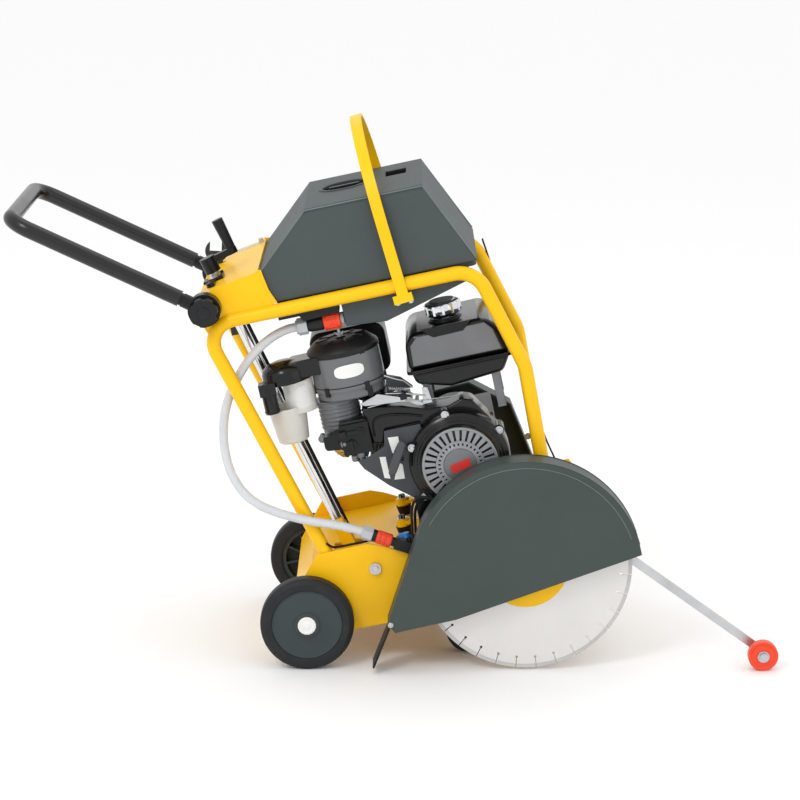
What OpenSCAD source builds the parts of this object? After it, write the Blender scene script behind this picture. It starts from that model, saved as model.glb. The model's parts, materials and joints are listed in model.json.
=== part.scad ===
// Walk-behind concrete saw, standing on its wheels in the transport position.
// Chassis parts are drawn level, with the rear axle at the origin, and
// on_chassis() tilts them nose-up about that axle into their place.

/* [Stance] */
// Nose-up tilt of the chassis with the blade clear of the ground
pitch = 12; // [11.8:0.1:12.2]
// Distance of the rear axle behind the middle of the machine
axle_back = 187.2; // [185:0.1:200]

/* [Wheels] */
// Rear wheel diameter
rear_wheel_d = 200; // [196:1:200]
// Rear wheel tread width
rear_wheel_w = 45; // [36:1:46]
// Front wheel diameter
front_wheel_d = 100; // [96:1:100]
// Front wheel tread width
front_wheel_w = 40; // [30:1:42]

/* [Frame] */
// Height of the top rails above the rear axle
rail_z = 665; // [662:1:667]
// Outside diameter of the frame tube
tube_d = 30; // [28:1:30]
// Wall thickness of the frame tube
tube_wall = 2.5; // [2:0.5:4]
// Distance of each frame loop from the centre plane
loop_y = 197; // [196.5:0.5:197]
// Distance of the side panels' outer faces from the centre plane
panel_y = 216; // [215:0.5:216]
// Sheet thickness of the chassis box
sheet = 4; // [3:0.5:4]

/* [Blade] */
// Blade diameter
blade_d = 450; // [400:10:450]
// Diameter of the arbor that the blade sits on
arbor_d = 25.4; // [25.4:0.1:25.4]
// Thickness of the blade's steel core
core_t = 3; // [2.4:0.1:3]
// Thickness of the diamond segments
segment_t = 3.6; // [3.2:0.1:3.8]
// Number of diamond segments
segments = 32; // [24:2:36]
// Distance of the blade from the centre plane
blade_y = 262; // [261:0.5:263]

/* [Engine] */
// Height of the crankshaft above the rear axle
crank_z = 267; // [266:0.5:268]
// Outside diameter of the recoil starter housing
recoil_d = 216; // [200:1:218]

/* [Water] */
// Half of the water tank's width
tank_half = 190; // [180:1:192]
// Outside diameter of the clear water hose
hose_d = 19; // [16:0.5:19]

/* [Hidden] */
$fn = 48;

yellow = "#f6c51c";
dark = "#4a5250";
black = "#1b1b1c";
silver = "#c6c8ca";

rear_r = rear_wheel_d / 2;
front_r = front_wheel_d / 2;
tube_r = tube_d / 2;
panel_in = panel_y - sheet;
blade_r = blade_d / 2;
gap = 0.5;

// Chassis points, level frame: x forward and z up from the rear axle
leg_slope = 0.2775;
arbor_x = 480;
arbor_z = 31;
crank_x = 389;
deck_z = 100;
spindle_foot_z = 80;
swing_x = 165;
swing_z = 79;
swing_arm = 259;
swing_angle = -50.6;
lever_r = 48;
lever_angle = 176.7;
lever_y = -60;
spindle_tilt = 13.5;
spindle_foot_x = 115.4;
guard_x = 262;
guard_z = 70;
pointer_x = 600;
pointer_z = 102;
hub_x = -65;
hub_z = 702;
handle_rise = 37;

// Sideways place of the frame's centre plane, with the blade side overhanging more
side_shift = 13;

module on_chassis() {
    translate([-axle_back, side_shift, rear_r]) rotate([0, -pitch, 0]) children();
}

// A level-frame outline in x and z, drawn from y0 to y1
module slab(points, y0, y1) {
    translate([0, y1, 0]) rotate([90, 0, 0]) linear_extrude(y1 - y0) polygon(points);
}

// A round bar across the machine from y0 to y1
module bar(x, z, y0, y1, r) {
    translate([x, y1, z]) rotate([90, 0, 0]) cylinder(r = r, h = y1 - y0);
}

// A ring across the machine from y0 to y1
module ring(x, z, y0, y1, r, bore) {
    difference() {
        bar(x, z, y0, y1, r);
        bar(x, z, y0 - 1, y1 + 1, bore);
    }
}

// A round bar in the x-z plane from a to b at the given y, run on past each end
module rod(a, b, y, r, past_a = 0, past_b = 0) {
    length = norm(b - a) + past_a + past_b;
    angle = atan2(b[0] - a[0], b[1] - a[1]);
    translate([a[0], y, a[1]]) rotate([0, angle, 0]) translate([0, 0, -past_a]) cylinder(r = r, h = length);
}

// A bent length of round bar about (x, z), from angle a0 to a1
module bend(x, z, y, turn_r, a0, a1, r) {
    translate([x, y, z]) rotate([90, 0, 0]) rotate([0, 0, a0])
        rotate_extrude(angle = a1 - a0) translate([turn_r, 0]) circle(r = r);
}

module block(low, high) {
    translate(low) cube(high - low);
}

// A point on the lifting spindle's axis at height z
function spindle_x(z) = spindle_foot_x - (z - spindle_foot_z) * tan(spindle_tilt);

// Places children with +Z up the lifting spindle, starting at height z
module on_spindle(z, y = lever_y) {
    translate([spindle_x(z), y, z]) rotate([0, -spindle_tilt, 0]) children();
}

// --- free and clipped lines -------------------------------------------------
function unit(v) = v / norm(v);
function tangent(p, i) = unit(p[min(i + 1, len(p) - 1)] - p[max(i - 1, 0)]);
function ring_points(p, i, r, n, ref) =
    let (t = tangent(p, i), s = unit(cross(t, ref)), b = cross(t, s))
    [for (k = [0:n - 1]) p[i] + r * (cos(360 * k / n) * s + sin(360 * k / n) * b)];
function between(a, b, c, d, t) =
    0.5 * ((2 * b) + (c - a) * t + (2 * a - 5 * b + 4 * c - d) * t * t
    + (3 * b - a - 3 * c + d) * t * t * t);
function smooth(p, steps) = [
    for (i = [0:len(p) - 2], k = [0:steps - 1])
        between(p[max(i - 1, 0)], p[i], p[i + 1], p[min(i + 2, len(p) - 1)], k / steps),
    p[len(p) - 1]
];

// A tube swept along points; ref is a direction the route never takes
module line(p, r, n, ref) {
    last = len(p) - 1;
    polyhedron(
        points = [for (i = [0:last]) each ring_points(p, i, r, n, ref)],
        faces = concat(
            [[for (k = [0:n - 1]) k]],
            [[for (k = [n - 1:-1:0]) last * n + k]],
            [for (i = [0:last - 1], k = [0:n - 1])
                [i * n + k, (i + 1) * n + k, (i + 1) * n + (k + 1) % n, i * n + (k + 1) % n]]
        )
    );
}

hose_route = [
    [112, -150, 613], [88, -150, 612], [60, -151, 605], [30, -154, 591], [0, -158, 570],
    [-26, -163, 545], [-50, -169, 516], [-70, -176, 484], [-84, -184, 448], [-92, -193, 408],
    [-93, -202, 368], [-86, -211, 331], [-70, -219, 297], [-45, -225, 269], [-14, -227, 247],
    [20, -227, 228], [56, -226, 211], [92, -223, 196], [126, -219, 180], [156, -216, 163]
];
spray_route = [
    [258, -222, 137], [262, -222, 160], [266, -223, 185], [276, -224, 207], [294, -226, 215],
    [313, -228, 207], [330, -228, 188], [345, -228, 165]
];
stop_route = [
    [74, -208, 152], [84, -206, 141], [100, -205, 138], [128, -205, 138], [156, -205, 138],
    [178, -204, 138]
];
cord_route = [
    [528, 196, 655], [533, 197, 612], [538, 198, 560], [548, 198, 500], [560, 194, 440],
    [562, 176, 390], [565, 120, 330], [570, 20, 288], [574, -70, 258], [582, -130, 232],
    [592, -170, 200], [600, -190, 160], [603, -202, 125]
];

// --- chassis ----------------------------------------------------------------
module base_frame() {
    side = [[-17, -30], [-17, 56], [49, 134], [160, 135], [191, 123], [234, deck_z],
        [618, deck_z + 14], [624, deck_z], [618, 60], [560, -30], [540, -46], [20, -46]];
    pan = [[-17, -30], [-13, -30], [-13, 52], [30, deck_z - sheet], [592, deck_z - sheet],
        [592, deck_z], [29, deck_z], [-17, 54]];
    slot_x = spindle_x(deck_z);
    color(yellow) on_chassis() difference() {
        union() {
            slab(side, -panel_y, -panel_in);
            slab(side, panel_in, panel_y);
            slab(pan, -panel_in - 1, panel_in + 1);
            slab([[588, 20], [592, 20], [592, deck_z - 1], [588, deck_z - 1]], -panel_in - 1, panel_in + 1);
        }
        for (s = [-1, 1]) {
            bar(arbor_x, arbor_z, s * panel_in - 10, s * panel_in + 10, 26);
            bar(0, 0, s * panel_in - 10, s * panel_in + 10, 10.02);
            bar(swing_x, swing_z, s * panel_in - 10, s * panel_in + 10, 8.02);
        }
        bar(guard_x, guard_z, -panel_y - 10, -panel_in + 10, 8.02);
        bar(pointer_x, pointer_z, -panel_y - 10, -panel_in + 10, 6.02);
        block([slot_x - 34, lever_y - 24, deck_z - 12], [slot_x + 30, lever_y + 24, deck_z + 12]);
    }
}

// One side loop: sloping rear leg, top rail and cranked front leg
module loop_path(y, r) {
    rear_turn = 50;
    front_turn = 60;
    kink_turn = 80;
    leg_angle = atan(leg_slope);
    front_angle = 15.3;
    low_angle = 1.5;
    corner_x = -38 - (rail_z - 511) * leg_slope;
    rear_tan = rear_turn * tan((90 + leg_angle) / 2);
    front_tan = front_turn * tan((90 - front_angle) / 2);
    kink_tan = kink_turn * tan((front_angle + low_angle) / 2);
    front_corner = 503;
    kink = [front_corner + (rail_z - 440) * tan(front_angle), 440];
    rear_x = corner_x + rear_tan;
    front_x = front_corner - front_tan;
    down = [sin(front_angle), -cos(front_angle)];
    front_end = [front_corner, rail_z] + front_tan * down;
    kink_start = kink - kink_tan * down;
    kink_centre = kink_start - kink_turn * [cos(front_angle), sin(front_angle)];
    kink_end = kink_centre + kink_turn * [cos(low_angle), -sin(low_angle)];
    foot_drop = kink_end[1] - deck_z - 1;
    leg_top = [corner_x + rear_tan * sin(leg_angle), rail_z - rear_tan * cos(leg_angle)];
    leg_foot = [-38 + (511 - deck_z - 1) * leg_slope, deck_z + 1];
    straight_r = r - 0.1;
    bend(rear_x, rail_z - rear_turn, y, rear_turn, 90, 180 + leg_angle, r);
    bend(front_x, rail_z - front_turn, y, front_turn, front_angle, 90, r);
    bend(kink_centre[0], kink_centre[1], y, kink_turn, -low_angle, front_angle, r);
    rod(leg_foot, leg_top, y, straight_r, 0, 1);
    rod([rear_x, rail_z], [front_x, rail_z], y, straight_r, 1, 1);
    rod(front_end, kink_start, y, straight_r, 1, 1);
    rod([kink_end[0] - foot_drop * tan(low_angle), deck_z + 1], kink_end, y, straight_r, 0, 1);
}

module frame_loop(y) {
    color(yellow) on_chassis() loop_path(y, tube_r);
}

module frame_loop_right() {
    frame_loop(-loop_y);
}

module frame_loop_left() {
    frame_loop(loop_y);
}

module console() {
    skin = 3;
    outer = loop_y + 3;
    cheek = [[-82, 713], [-46, 737], [58, 754], [74, 684], [72, rail_z], [-10, rail_z - 2],
        [-48, 640], [-62, 622], [-76, 660]];
    top = [[-82, 713], [-46, 737], [58, 754], [58.5, 751], [-45.5, 734], [-80, 711]];
    color(yellow) on_chassis() difference() {
        union() {
            slab(cheek, -outer, -outer + skin);
            slab(cheek, outer - skin, outer);
            slab(top, -outer + skin, outer - skin);
        }
        on_spindle(700) cylinder(r = 14.1, h = 80);
        block([-61, 98, 690], [-31, 106.5, 760]);
        on_spindle(700) translate([12.5, 22, 0]) cylinder(r = 4.6, h = 80);
        for (s = [-1, 1]) bar(hub_x, hub_z, s * outer - 10, s * outer + 10, 8.02);
    }
}

// Flat hoop over the tank for the crane hook
module lifting_bail() {
    half = 217.8;
    thick = 6;
    width = 24;
    lean = atan(0.075);
    straight = 150;
    color(yellow) on_chassis() translate([347, 0, 622]) rotate([0, -lean, 0]) {
        translate([-width / 2, 0, 168]) rotate([90, 0, 90]) rotate_extrude_half(half, thick, width);
        for (s = [-1, 1]) {
            y0 = s > 0 ? half - thick : -half;
            block([-width / 2, y0, 14], [width / 2, y0 + thick, 168]);
            block([-22, y0, 14], [19, y0 + thick, 26]);
            tab = s > 0 ? half - 28 : -half + thick;
            block([-22, tab, 8], [19, tab + 22, 14]);
            block([-22, y0, 8], [19, y0 + thick, 14]);
        }
    }
}

// Half of a flat ring, from 0 to 180 degrees, used by the hoop
module rotate_extrude_half(r, thick, width) {
    rotate_extrude(angle = 180) translate([r - thick, 0]) square([thick, width]);
}

module hex_bolt(r, h) {
    cylinder(r = r, h = h, $fn = 6);
}

// Bolts for the hoop, the swing shaft, the guard and pointer pivots, and the crank's collar
module frame_bolts() {
    guard_head = -252;
    color(silver) on_chassis() {
        for (s = [-1, 1], x = [331, 358])
            translate([x, s * (loop_y - 2), rail_z - 42]) cylinder(r = 4, h = 7.8);
        bar(swing_x, swing_z, -panel_y - 7, panel_y + 7, 8);
        for (s = [-1, 1]) {
            y0 = s > 0 ? panel_y : -panel_y - 7;
            bar(swing_x, swing_z, y0, y0 + 7, 12);
        }
        for (low = [-loop_y - 48, loop_y - 22])
            bar(hub_x, hub_z, low, low + 70, 8);
        bar(guard_x, guard_z, guard_head, -panel_in + 14, 8);
        bar(guard_x, guard_z, guard_head - 6, guard_head, 12);
        bar(pointer_x, pointer_z, -232, -panel_in + 14, 6);
        bar(pointer_x, pointer_z, -233.5, -229.5, 9);
        on_spindle(spindle_z) translate([0, 0, -5]) difference() {
            cylinder(r = 12, h = 13.5);
            translate([0, 0, -1]) cylinder(r = 7.05, h = 20);
        }
    }
}

// --- water ------------------------------------------------------------------
module tank_side() {
    polygon([[78, 682], [58, 748], [181, 860], [431, 860], [512, 682]]);
}

module tank_body(w, trim) {
    intersection() {
        translate([0, w, 0]) rotate([90, 0, 0]) linear_extrude(2 * w) tank_side();
        translate([0, 0, 682]) rotate([90, 0, 90]) linear_extrude(600)
            polygon([[-w, 0], [-w, 178 - trim], [-w + trim, 178], [w - trim, 178], [w, 178 - trim], [w, 0]]);
    }
}

module tank_belly(w) {
    slab([[214, 598], [300, 591], [356, 606], [480, 640], [496, 683], [212, 683]], -w, w);
}

module water_tank() {
    wall = 5;
    belly_half = 174;
    centre = [290, 0, 740];
    shrink = 0.965;
    filler_x = 262;
    color(dark) on_chassis() difference() {
        union() {
            tank_body(tank_half, 9);
            tank_belly(belly_half);
            translate([filler_x, 30, 834]) cylinder(r = 54, h = 26);
        }
        translate(centre) scale(shrink) translate(-centre) union() {
            tank_body(tank_half, 9);
            tank_belly(belly_half);
        }
        translate([filler_x, 30, 838]) {
            cylinder(r = 48, h = 30);
            translate([0, 0, -20]) cylinder(r = 34, h = 30);
        }
        block([352, 30, 846], [398, 100, 870]);
        translate([200, -150, 612]) rotate([0, 90, 0]) cylinder(r = 8, h = 40);
    }
}

module tank_cap() {
    color(black) on_chassis() translate([262, 30, 840]) {
        cylinder(r = 42, h = 16);
        translate([0, 0, -14]) cylinder(r = 33.6, h = 14);
        translate([-36, -5, 16]) cube([72, 10, 6]);
    }
}

// Quick coupler along +X, from the hose nut to the spigot
module tank_coupler() {
    color("#e8502a") on_chassis() translate([112, -150, 612]) rotate([0, 90, 0]) {
        cylinder(r = 17, h = 22);
        translate([0, 0, 22]) cylinder(r = 14, h = 14);
        translate([0, 0, 36]) cylinder(r = 16, h = 20);
        translate([0, 0, 56]) cylinder(r = 20, h = 36);
        translate([0, 0, 92]) cylinder(r = 13, h = 8);
        translate([0, 0, 100]) cylinder(r = 7.9, h = 8);
    }
}

module water_hose() {
    color("#dfe3e6") on_chassis() line(smooth(hose_route, 2), hose_d / 2, 12, [0, 1, 0]);
}

// The lower coupler points down the slope of the chassis edge
module valve_coupler() {
    color("#e8502a") on_chassis() translate([156, -216, 163]) rotate([0, 120.5, 0]) {
        cylinder(r = 14.5, h = 22);
        translate([0, 0, 22]) cylinder(r = 13, h = 8);
        translate([0, 0, 30]) cylinder(r = 14.5, h = 34);
        translate([0, 0, 64]) cylinder(r = 10, h = 8);
    }
}

module water_valve() {
    color("#3c4448") on_chassis() {
        translate([156, -216, 163]) rotate([0, 120.5, 0]) translate([-12, -13, 72]) cube([24, 26, 36]);
        translate([250, -216, 111]) cylinder(r = 7, h = 21);
        translate([258, -222, 116]) cylinder(r = 5, h = 21);
        block([234, -212, deck_z], [262, -196, deck_z + 5]);
        block([240, -212, deck_z + 5], [256, -204, deck_z + 12]);
    }
}

module valve_lever() {
    color("#1f7fc4") on_chassis() translate([244, -216, 132.5]) {
        cylinder(r = 8, h = 10);
        translate([-16, -4.5, 3]) cube([18, 9, 7]);
    }
}

module chassis_lines() {
    color(black) on_chassis() {
        line(smooth(spray_route, 2), 3, 8, [0, 1, 0]);
        line([for (p = smooth(spray_route, 2)) p + [6, 9, -7]], 3, 8, [0, 1, 0]);
        line(smooth(stop_route, 2), 2.6, 8, [0, 1, 0]);
    }
}

module pointer_cord() {
    color(black) on_chassis() line(smooth(cord_route, 2), 2, 8, [1, 0, 0]);
}

// --- handle -----------------------------------------------------------------
// Places children with +Z up the handle arm from the pivot
module on_handle() {
    translate([hub_x, 0, hub_z]) rotate([0, handle_rise - 90, 0]) children();
}

handle_y = 218;
handle_len = 443;
handle_turn = 46;

// Half of the hoop-shaped handle's centre line, as a round bar of radius r
module handle_path(r, from) {
    for (s = [-1, 1]) translate([0, s * handle_y, from]) cylinder(r = r, h = handle_len - handle_turn - from);
    for (s = [-1, 1]) translate([0, s * (handle_y - handle_turn), handle_len - handle_turn])
        rotate([0, -90, 0]) rotate([0, 0, s > 0 ? 0 : -90])
        rotate_extrude(angle = 90) translate([handle_turn, 0]) circle(r = r);
    translate([0, handle_turn - handle_y, handle_len]) rotate([-90, 0, 0])
        cylinder(r = r, h = 2 * (handle_y - handle_turn));
}

module handle_bar() {
    hub_r = 34.5;
    hub_in = loop_y + 3.5;
    hub_t = 30;
    color(black) on_chassis() on_handle() {
        difference() {
            handle_path(13.4, 40);
            handle_path(10.9, 60);
        }
        for (s = [-1, 1]) {
            y0 = s > 0 ? hub_in : -hub_in - hub_t;
            translate([0, y0 + hub_t, 0]) rotate([90, 0, 0]) difference() {
                cylinder(r = hub_r, h = hub_t);
                translate([0, 0, -1]) cylinder(r = 8.1, h = hub_t + 2);
            }
            translate([0, s * handle_y, hub_r - 4]) cylinder(r = 15, h = 20);
        }
    }
}

module handle_sleeve() {
    color("#2b2c2e") on_chassis() on_handle() difference() {
        handle_path(17, 56);
        handle_path(13.4, 50);
    }
}

// Seven-lobed clamping knob on a stud, axis along y
module star_knob(side) {
    y0 = side > 0 ? loop_y + 37 : -loop_y - 37 - 24;
    bore = side > 0 ? y0 - 1 : y0 + 9;
    lobes = 7;
    color("#505254") on_chassis() {
        difference() {
            bar(hub_x, hub_z, y0, y0 + 24, 30);
            bar(hub_x, hub_z, bore, bore + 16, 8.05);
            for (k = [0:lobes - 1]) {
                a = 360 * (k + 0.5) / lobes;
                bar(hub_x + 38 * cos(a), hub_z + 38 * sin(a), y0 - 1, y0 + 25, 11);
            }
        }
    }
}

module star_knob_right() {
    star_knob(-1);
}

module star_knob_left() {
    star_knob(1);
}

// --- depth control ----------------------------------------------------------
crank_throw = 56;

module crank_arm() {
    color(black) on_chassis() {
        on_spindle(spindle_z) {
            translate([0, 0, 9]) cylinder(r = 17, h = 34);
            translate([0, -9, 27]) cube([crank_throw, 18, 14]);
            translate([crank_throw, 0, 27]) cylinder(r = 11, h = 14);
            translate([crank_throw, 0, 41]) cylinder(r = 5, h = 66);
            translate([0, 0, -140]) cylinder(r = 7, h = 160);
        }
    }
}

spindle_z = 741;

module crank_grip() {
    color("#3a3b3d") on_chassis() on_spindle(spindle_z) translate([crank_throw, 0, 42]) difference() {
        union() {
            cylinder(r = 10.5, h = 6);
            translate([0, 0, 6]) cylinder(r1 = 10.5, r2 = 12, h = 50);
            translate([0, 0, 56]) cylinder(r = 12, h = 9);
        }
        translate([0, 0, -1]) cylinder(r = 5.05, h = 67);
    }
}

// Plated tube that the screw raises and lowers
module lift_tube() {
    color(silver) on_chassis() on_spindle(161) difference() {
        cylinder(r = 11, h = 532);
        translate([0, 0, 380]) cylinder(r = 7.05, h = 160);
        translate([0, 0, -1]) cylinder(r = 7, h = 300);
    }
}

// Welded foot of the lift tube, with the slot for the lever's pin
module lift_yoke() {
    color(yellow) on_chassis() on_spindle(161) difference() {
        union() {
            translate([-12, -14, -28]) cube([24, 28, 28]);
            for (s = [-14, 8.5]) translate([-14, s, -104]) cube([28, 5.5, 90]);
        }
        slot_z = -81.5;
        translate([2.0, 20, slot_z]) rotate([90, 0, 0]) cylinder(r = 6.7, h = 40);
        translate([-2.0, 20, slot_z]) rotate([90, 0, 0]) cylinder(r = 6.7, h = 40);
        translate([-2.0, -20, slot_z - 6.7]) cube([4.0, 40, 13.4]);
    }
}

// Rod that carries the cutting depth up to the scale
module depth_rod() {
    color("#3b3d40") on_chassis() on_spindle(161) {
        translate([12.5, 22, -30]) cylinder(r = 4, h = 628);
        translate([-6, 14.3, -26]) cube([22, 11, 8]);
    }
}

module depth_scale() {
    color("#d9dcde") on_chassis() {
        translate([-8, 160, 742]) rotate([0, -9.3, 0]) cube([66, 22, 2]);
        translate([44, 160, 753]) cube([10, 14, 10]);
    }
}

module spanner() {
    color("#3d4043") on_chassis() translate([-46, 104.8, 574]) rotate([90, 0, 0]) linear_extrude(5) {
        difference() {
            union() {
                translate([-9, 0]) square([18, 190]);
                translate([0, 192]) circle(r = 25);
            }
            translate([0, 200]) rotate([0, 0, 75 - 90]) translate([-13, -8]) square([26, 50]);
        }
    }
}

// Forked catch that holds the spindle from turning
module crank_lock() {
    plate_tilt = -9.3;
    color("#2c2d2f") on_chassis() translate([-44, -100, 738.2]) rotate([0, plate_tilt, 0]) {
        difference() {
            union() {
                translate([-10, -70, 0]) cube([16, 60, 5]);
                translate([-22, -14, 0]) cube([44, 39, 5]);
            }
            translate([-14, 12, -1]) cube([28, 50, 7]);
            translate([0, 12, -1]) cylinder(r = 14, h = 7);
        }
        translate([-2, -66, 0]) cylinder(r = 9, h = 9);
    }
}

// --- running gear -----------------------------------------------------------
module rear_axle() {
    color(silver) on_chassis() bar(0, 0, -267, 267, 10);
}

// Drawn for the right side, with its ribs facing the chassis, and mirrored for the left
module rear_wheel(side) {
    y_in = 222.5;
    y_out = y_in + rear_wheel_w;
    rim_r = 72;
    hub_r = 24;
    web_out = y_out - 4;
    web_in = y_out - 12;
    rim_in = y_in + 6;
    cap_end = 274;
    color("#333639") on_chassis() mirror([0, side > 0 ? 1 : 0, 0]) {
        difference() {
            bar(0, 0, -y_out, -y_in, rear_r);
            bar(0, 0, -y_out - 1, -web_out, rim_r);
            bar(0, 0, -rim_in, -y_in + 1, rim_r);
            ring(0, 0, -web_in, -y_in + 1, rim_r - 8, hub_r);
            ring(0, 0, -y_out - 1, -y_out + 3, rear_r + 5, rear_r - 4);
            ring(0, 0, -y_in - 3, -y_in + 1, rear_r + 5, rear_r - 4);
            bar(0, 0, -267.2, -y_in + 1, 10.05);
        }
        difference() {
            bar(0, 0, -cap_end, -web_out + 2, 19.5);
            bar(0, 0, -267.2, -y_in + 1, 10.05);
        }
        for (k = [0:5]) {
            translate([0, -web_in - 1, 0]) rotate([0, 60 * k + 30, 0])
                translate([hub_r - 2, 0, -2.5]) cube([44, web_in - rim_in - 2, 5]);
        }
    }
}

module rear_wheel_right() {
    rear_wheel(-1);
}

module rear_wheel_left() {
    rear_wheel(1);
}

// Carriage that lowers the front wheels and so raises the blade
axle_x = swing_x + swing_arm * cos(swing_angle);
axle_z = swing_z + swing_arm * sin(swing_angle);

module swing_frame() {
    lever_end = lever_r * [cos(lever_angle), sin(lever_angle)];
    pin_at = [swing_x, swing_z] + lever_end;
    arm_end = swing_arm * [cos(swing_angle), sin(swing_angle)];
    arm_y = 92;
    arm_t = 8;
    tube_half = arm_y + arm_t + 2;
    color("#2e3032") on_chassis() {
        for (low = [-arm_y - arm_t, arm_y])
            translate([swing_x, low + arm_t, swing_z]) rotate([90, 0, 0]) linear_extrude(arm_t) difference() {
                union() {
                    rotate([0, 0, swing_angle]) translate([0, -16]) square([swing_arm, 32]);
                    circle(r = 15.5);
                    translate(arm_end) circle(r = 18);
                }
                circle(r = 12);
                translate(arm_end) circle(r = 8.02);
            }
        ring(swing_x, swing_z, -tube_half, tube_half, 15, 8.06);
        translate([swing_x, -arm_y - 4, swing_z]) rotate([0, -swing_angle, 0])
            translate([120, 0, -10]) cube([20, 2 * arm_y + 8, 20]);
        translate([swing_x, lever_y + 8, swing_z]) rotate([90, 0, 0]) linear_extrude(16) difference() {
            union() {
                rotate([0, 0, lever_angle]) translate([0, -10]) square([lever_r, 20]);
                translate(lever_end) circle(r = 12.5);
            }
            circle(r = 12);
        }
        bar(pin_at[0], pin_at[1], lever_y - 13.5, lever_y + 13.5, 6);
    }
}

module front_axle() {
    color(silver) on_chassis() bar(axle_x, axle_z, -158, 158, 8);
}

module front_wheel(side) {
    y_in = 110;
    low = side > 0 ? y_in : -y_in - front_wheel_w;
    color("#333639") on_chassis() difference() {
        bar(axle_x, axle_z, low, low + front_wheel_w, front_r);
        bar(axle_x, axle_z, low - 1, low + front_wheel_w + 1, 8.05);
        ring(axle_x, axle_z, low - 1, low + 5, 34, 16);
        ring(axle_x, axle_z, low + front_wheel_w - 5, low + front_wheel_w + 1, 34, 16);
    }
}

module front_wheel_right() {
    front_wheel(-1);
}

module front_wheel_left() {
    front_wheel(1);
}

// --- blade drive ------------------------------------------------------------
shaft_r = 15;
pulley_y = 238;
belt_pitch = 14;
arbor_pulley_r = 52;
engine_pulley_r = 46;

module arbor_bearings() {
    color("#55595c") on_chassis() for (s = [-1, 1]) {
        low = s > 0 ? panel_in - 26 : -panel_in;
        ring(arbor_x, arbor_z, low, low + 26, 42, shaft_r + 0.05);
    }
}

// Two grooves for V-belts in a pulley of radius r
module pulley(x, z, r) {
    difference() {
        bar(x, z, pulley_y - 17, pulley_y + 17, r);
        for (k = [-1, 1])
            translate([x, pulley_y + k * belt_pitch / 2, z]) rotate([90, 0, 0]) rotate_extrude()
                polygon([[r - 9, -3], [r + 1, -5.6], [r + 1, 5.6], [r - 9, 3]]);
    }
}

arbor_end_r = 11.5;

module arbor_shaft() {
    color("#8d9194") on_chassis() {
        bar(arbor_x, arbor_z, -250, pulley_y + 22, shaft_r);
        bar(arbor_x, arbor_z, -285, -250, arbor_d / 2);
        bar(arbor_x, arbor_z, -294, -284, arbor_end_r);
        pulley(arbor_x, arbor_z, arbor_pulley_r);
    }
}

module blade_flanges() {
    inner = -blade_y + core_t / 2;
    outer = -blade_y - core_t / 2;
    color("#9da1a4") on_chassis() {
        ring(arbor_x, arbor_z, inner, -250, 40, arbor_d / 2);
        ring(arbor_x, arbor_z, outer - 8, outer, 40, arbor_d / 2);
        difference() {
            translate([arbor_x, outer - 8, arbor_z]) rotate([90, 0, 0]) cylinder(r = 22, h = 12, $fn = 6);
            bar(arbor_x, arbor_z, outer - 30, outer, arbor_d / 2);
        }
    }
}

module blade_core() {
    core_r = blade_r - 8;
    color("#d6d8da") on_chassis() difference() {
        bar(arbor_x, arbor_z, -blade_y - core_t / 2, -blade_y + core_t / 2, core_r);
        bar(arbor_x, arbor_z, -blade_y - 5, -blade_y + 5, arbor_d / 2 + 0.05);
        for (k = [0:segments - 1]) {
            a = 360 * (k + 0.5) / segments;
            translate([arbor_x, -blade_y - 5, arbor_z]) rotate([0, -a, 0]) {
                translate([core_r - 14, 0, -1]) cube([30, 10, 2]);
                translate([core_r - 15, 0, 0]) rotate([-90, 0, 0]) cylinder(r = 2.8, h = 10);
            }
        }
    }
}

module blade_segments() {
    core_r = blade_r - 8;
    half = 180 / segments - 0.28;
    color("#b4b7ba") on_chassis() for (k = [0:segments - 1])
        translate([arbor_x, -blade_y + segment_t / 2, arbor_z]) rotate([90, 0, 0])
            rotate([0, 0, 360 * k / segments - half])
            rotate_extrude(angle = 2 * half) translate([core_r, 0]) square([8, segment_t]);
}

// A belt: a closed loop round both pulleys, clear of the grooves' floors and sides
module belt(y) {
    floor_gap = 7;
    thick = 8;
    width = 6;
    translate([0, y + width / 2, 0]) rotate([90, 0, 0]) linear_extrude(width) difference() {
        belt_loop(engine_pulley_r - floor_gap + thick, arbor_pulley_r - floor_gap + thick);
        belt_loop(engine_pulley_r - floor_gap, arbor_pulley_r - floor_gap);
    }
}

module belt_loop(r_engine, r_arbor) {
    hull() {
        translate([crank_x, crank_z]) circle(r = r_engine, $fn = 72);
        translate([arbor_x, arbor_z]) circle(r = r_arbor, $fn = 72);
    }
}

module v_belts() {
    color("#242526") on_chassis() for (k = [-1, 1]) belt(pulley_y + k * belt_pitch / 2);
}

module belt_cover() {
    outline = [[318, 296], [330, 332], [432, 336], [515, 267], [552, 60], [540, -8], [500, -34],
        [440, -34], [404, 20]];
    inside = [[322, 295], [333, 328], [430, 332], [511, 265], [548, 60], [537, -5], [499, -30],
        [442, -30], [408, 21]];
    color(dark) on_chassis() {
        difference() {
            slab(outline, panel_y + 0.5, pulley_y + 34);
            slab(inside, panel_y - 1, pulley_y + 31);
        }
    }
}

// --- engine -----------------------------------------------------------------
module engine_bed() {
    color(yellow) on_chassis() difference() {
        union() {
            block([270, -105, 126], [556, 105, 134]);
            for (s = [-1, 1]) {
                translate([236, s * 84, 122]) cylinder(r = 15, h = 16);
                block([236, s * 84 - 15, 126], [272, s * 84 + 15, 134]);
            }
        }
        block([330, -60, 120], [470, 60, 140]);
    }
}

module rubber_buffers() {
    color("#1d1d1e") on_chassis() for (x = [236, 530], s = [-1, 1]) {
        top = x < 300 ? 122 : 126;
        translate([x, s * 84, deck_z]) cylinder(r1 = 13, r2 = 17, h = top - deck_z);
        if (x < 300) translate([x, s * 84, 138]) cylinder(r = 7, h = 8);
    }
}

cylinder_tilt = 65;

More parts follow.
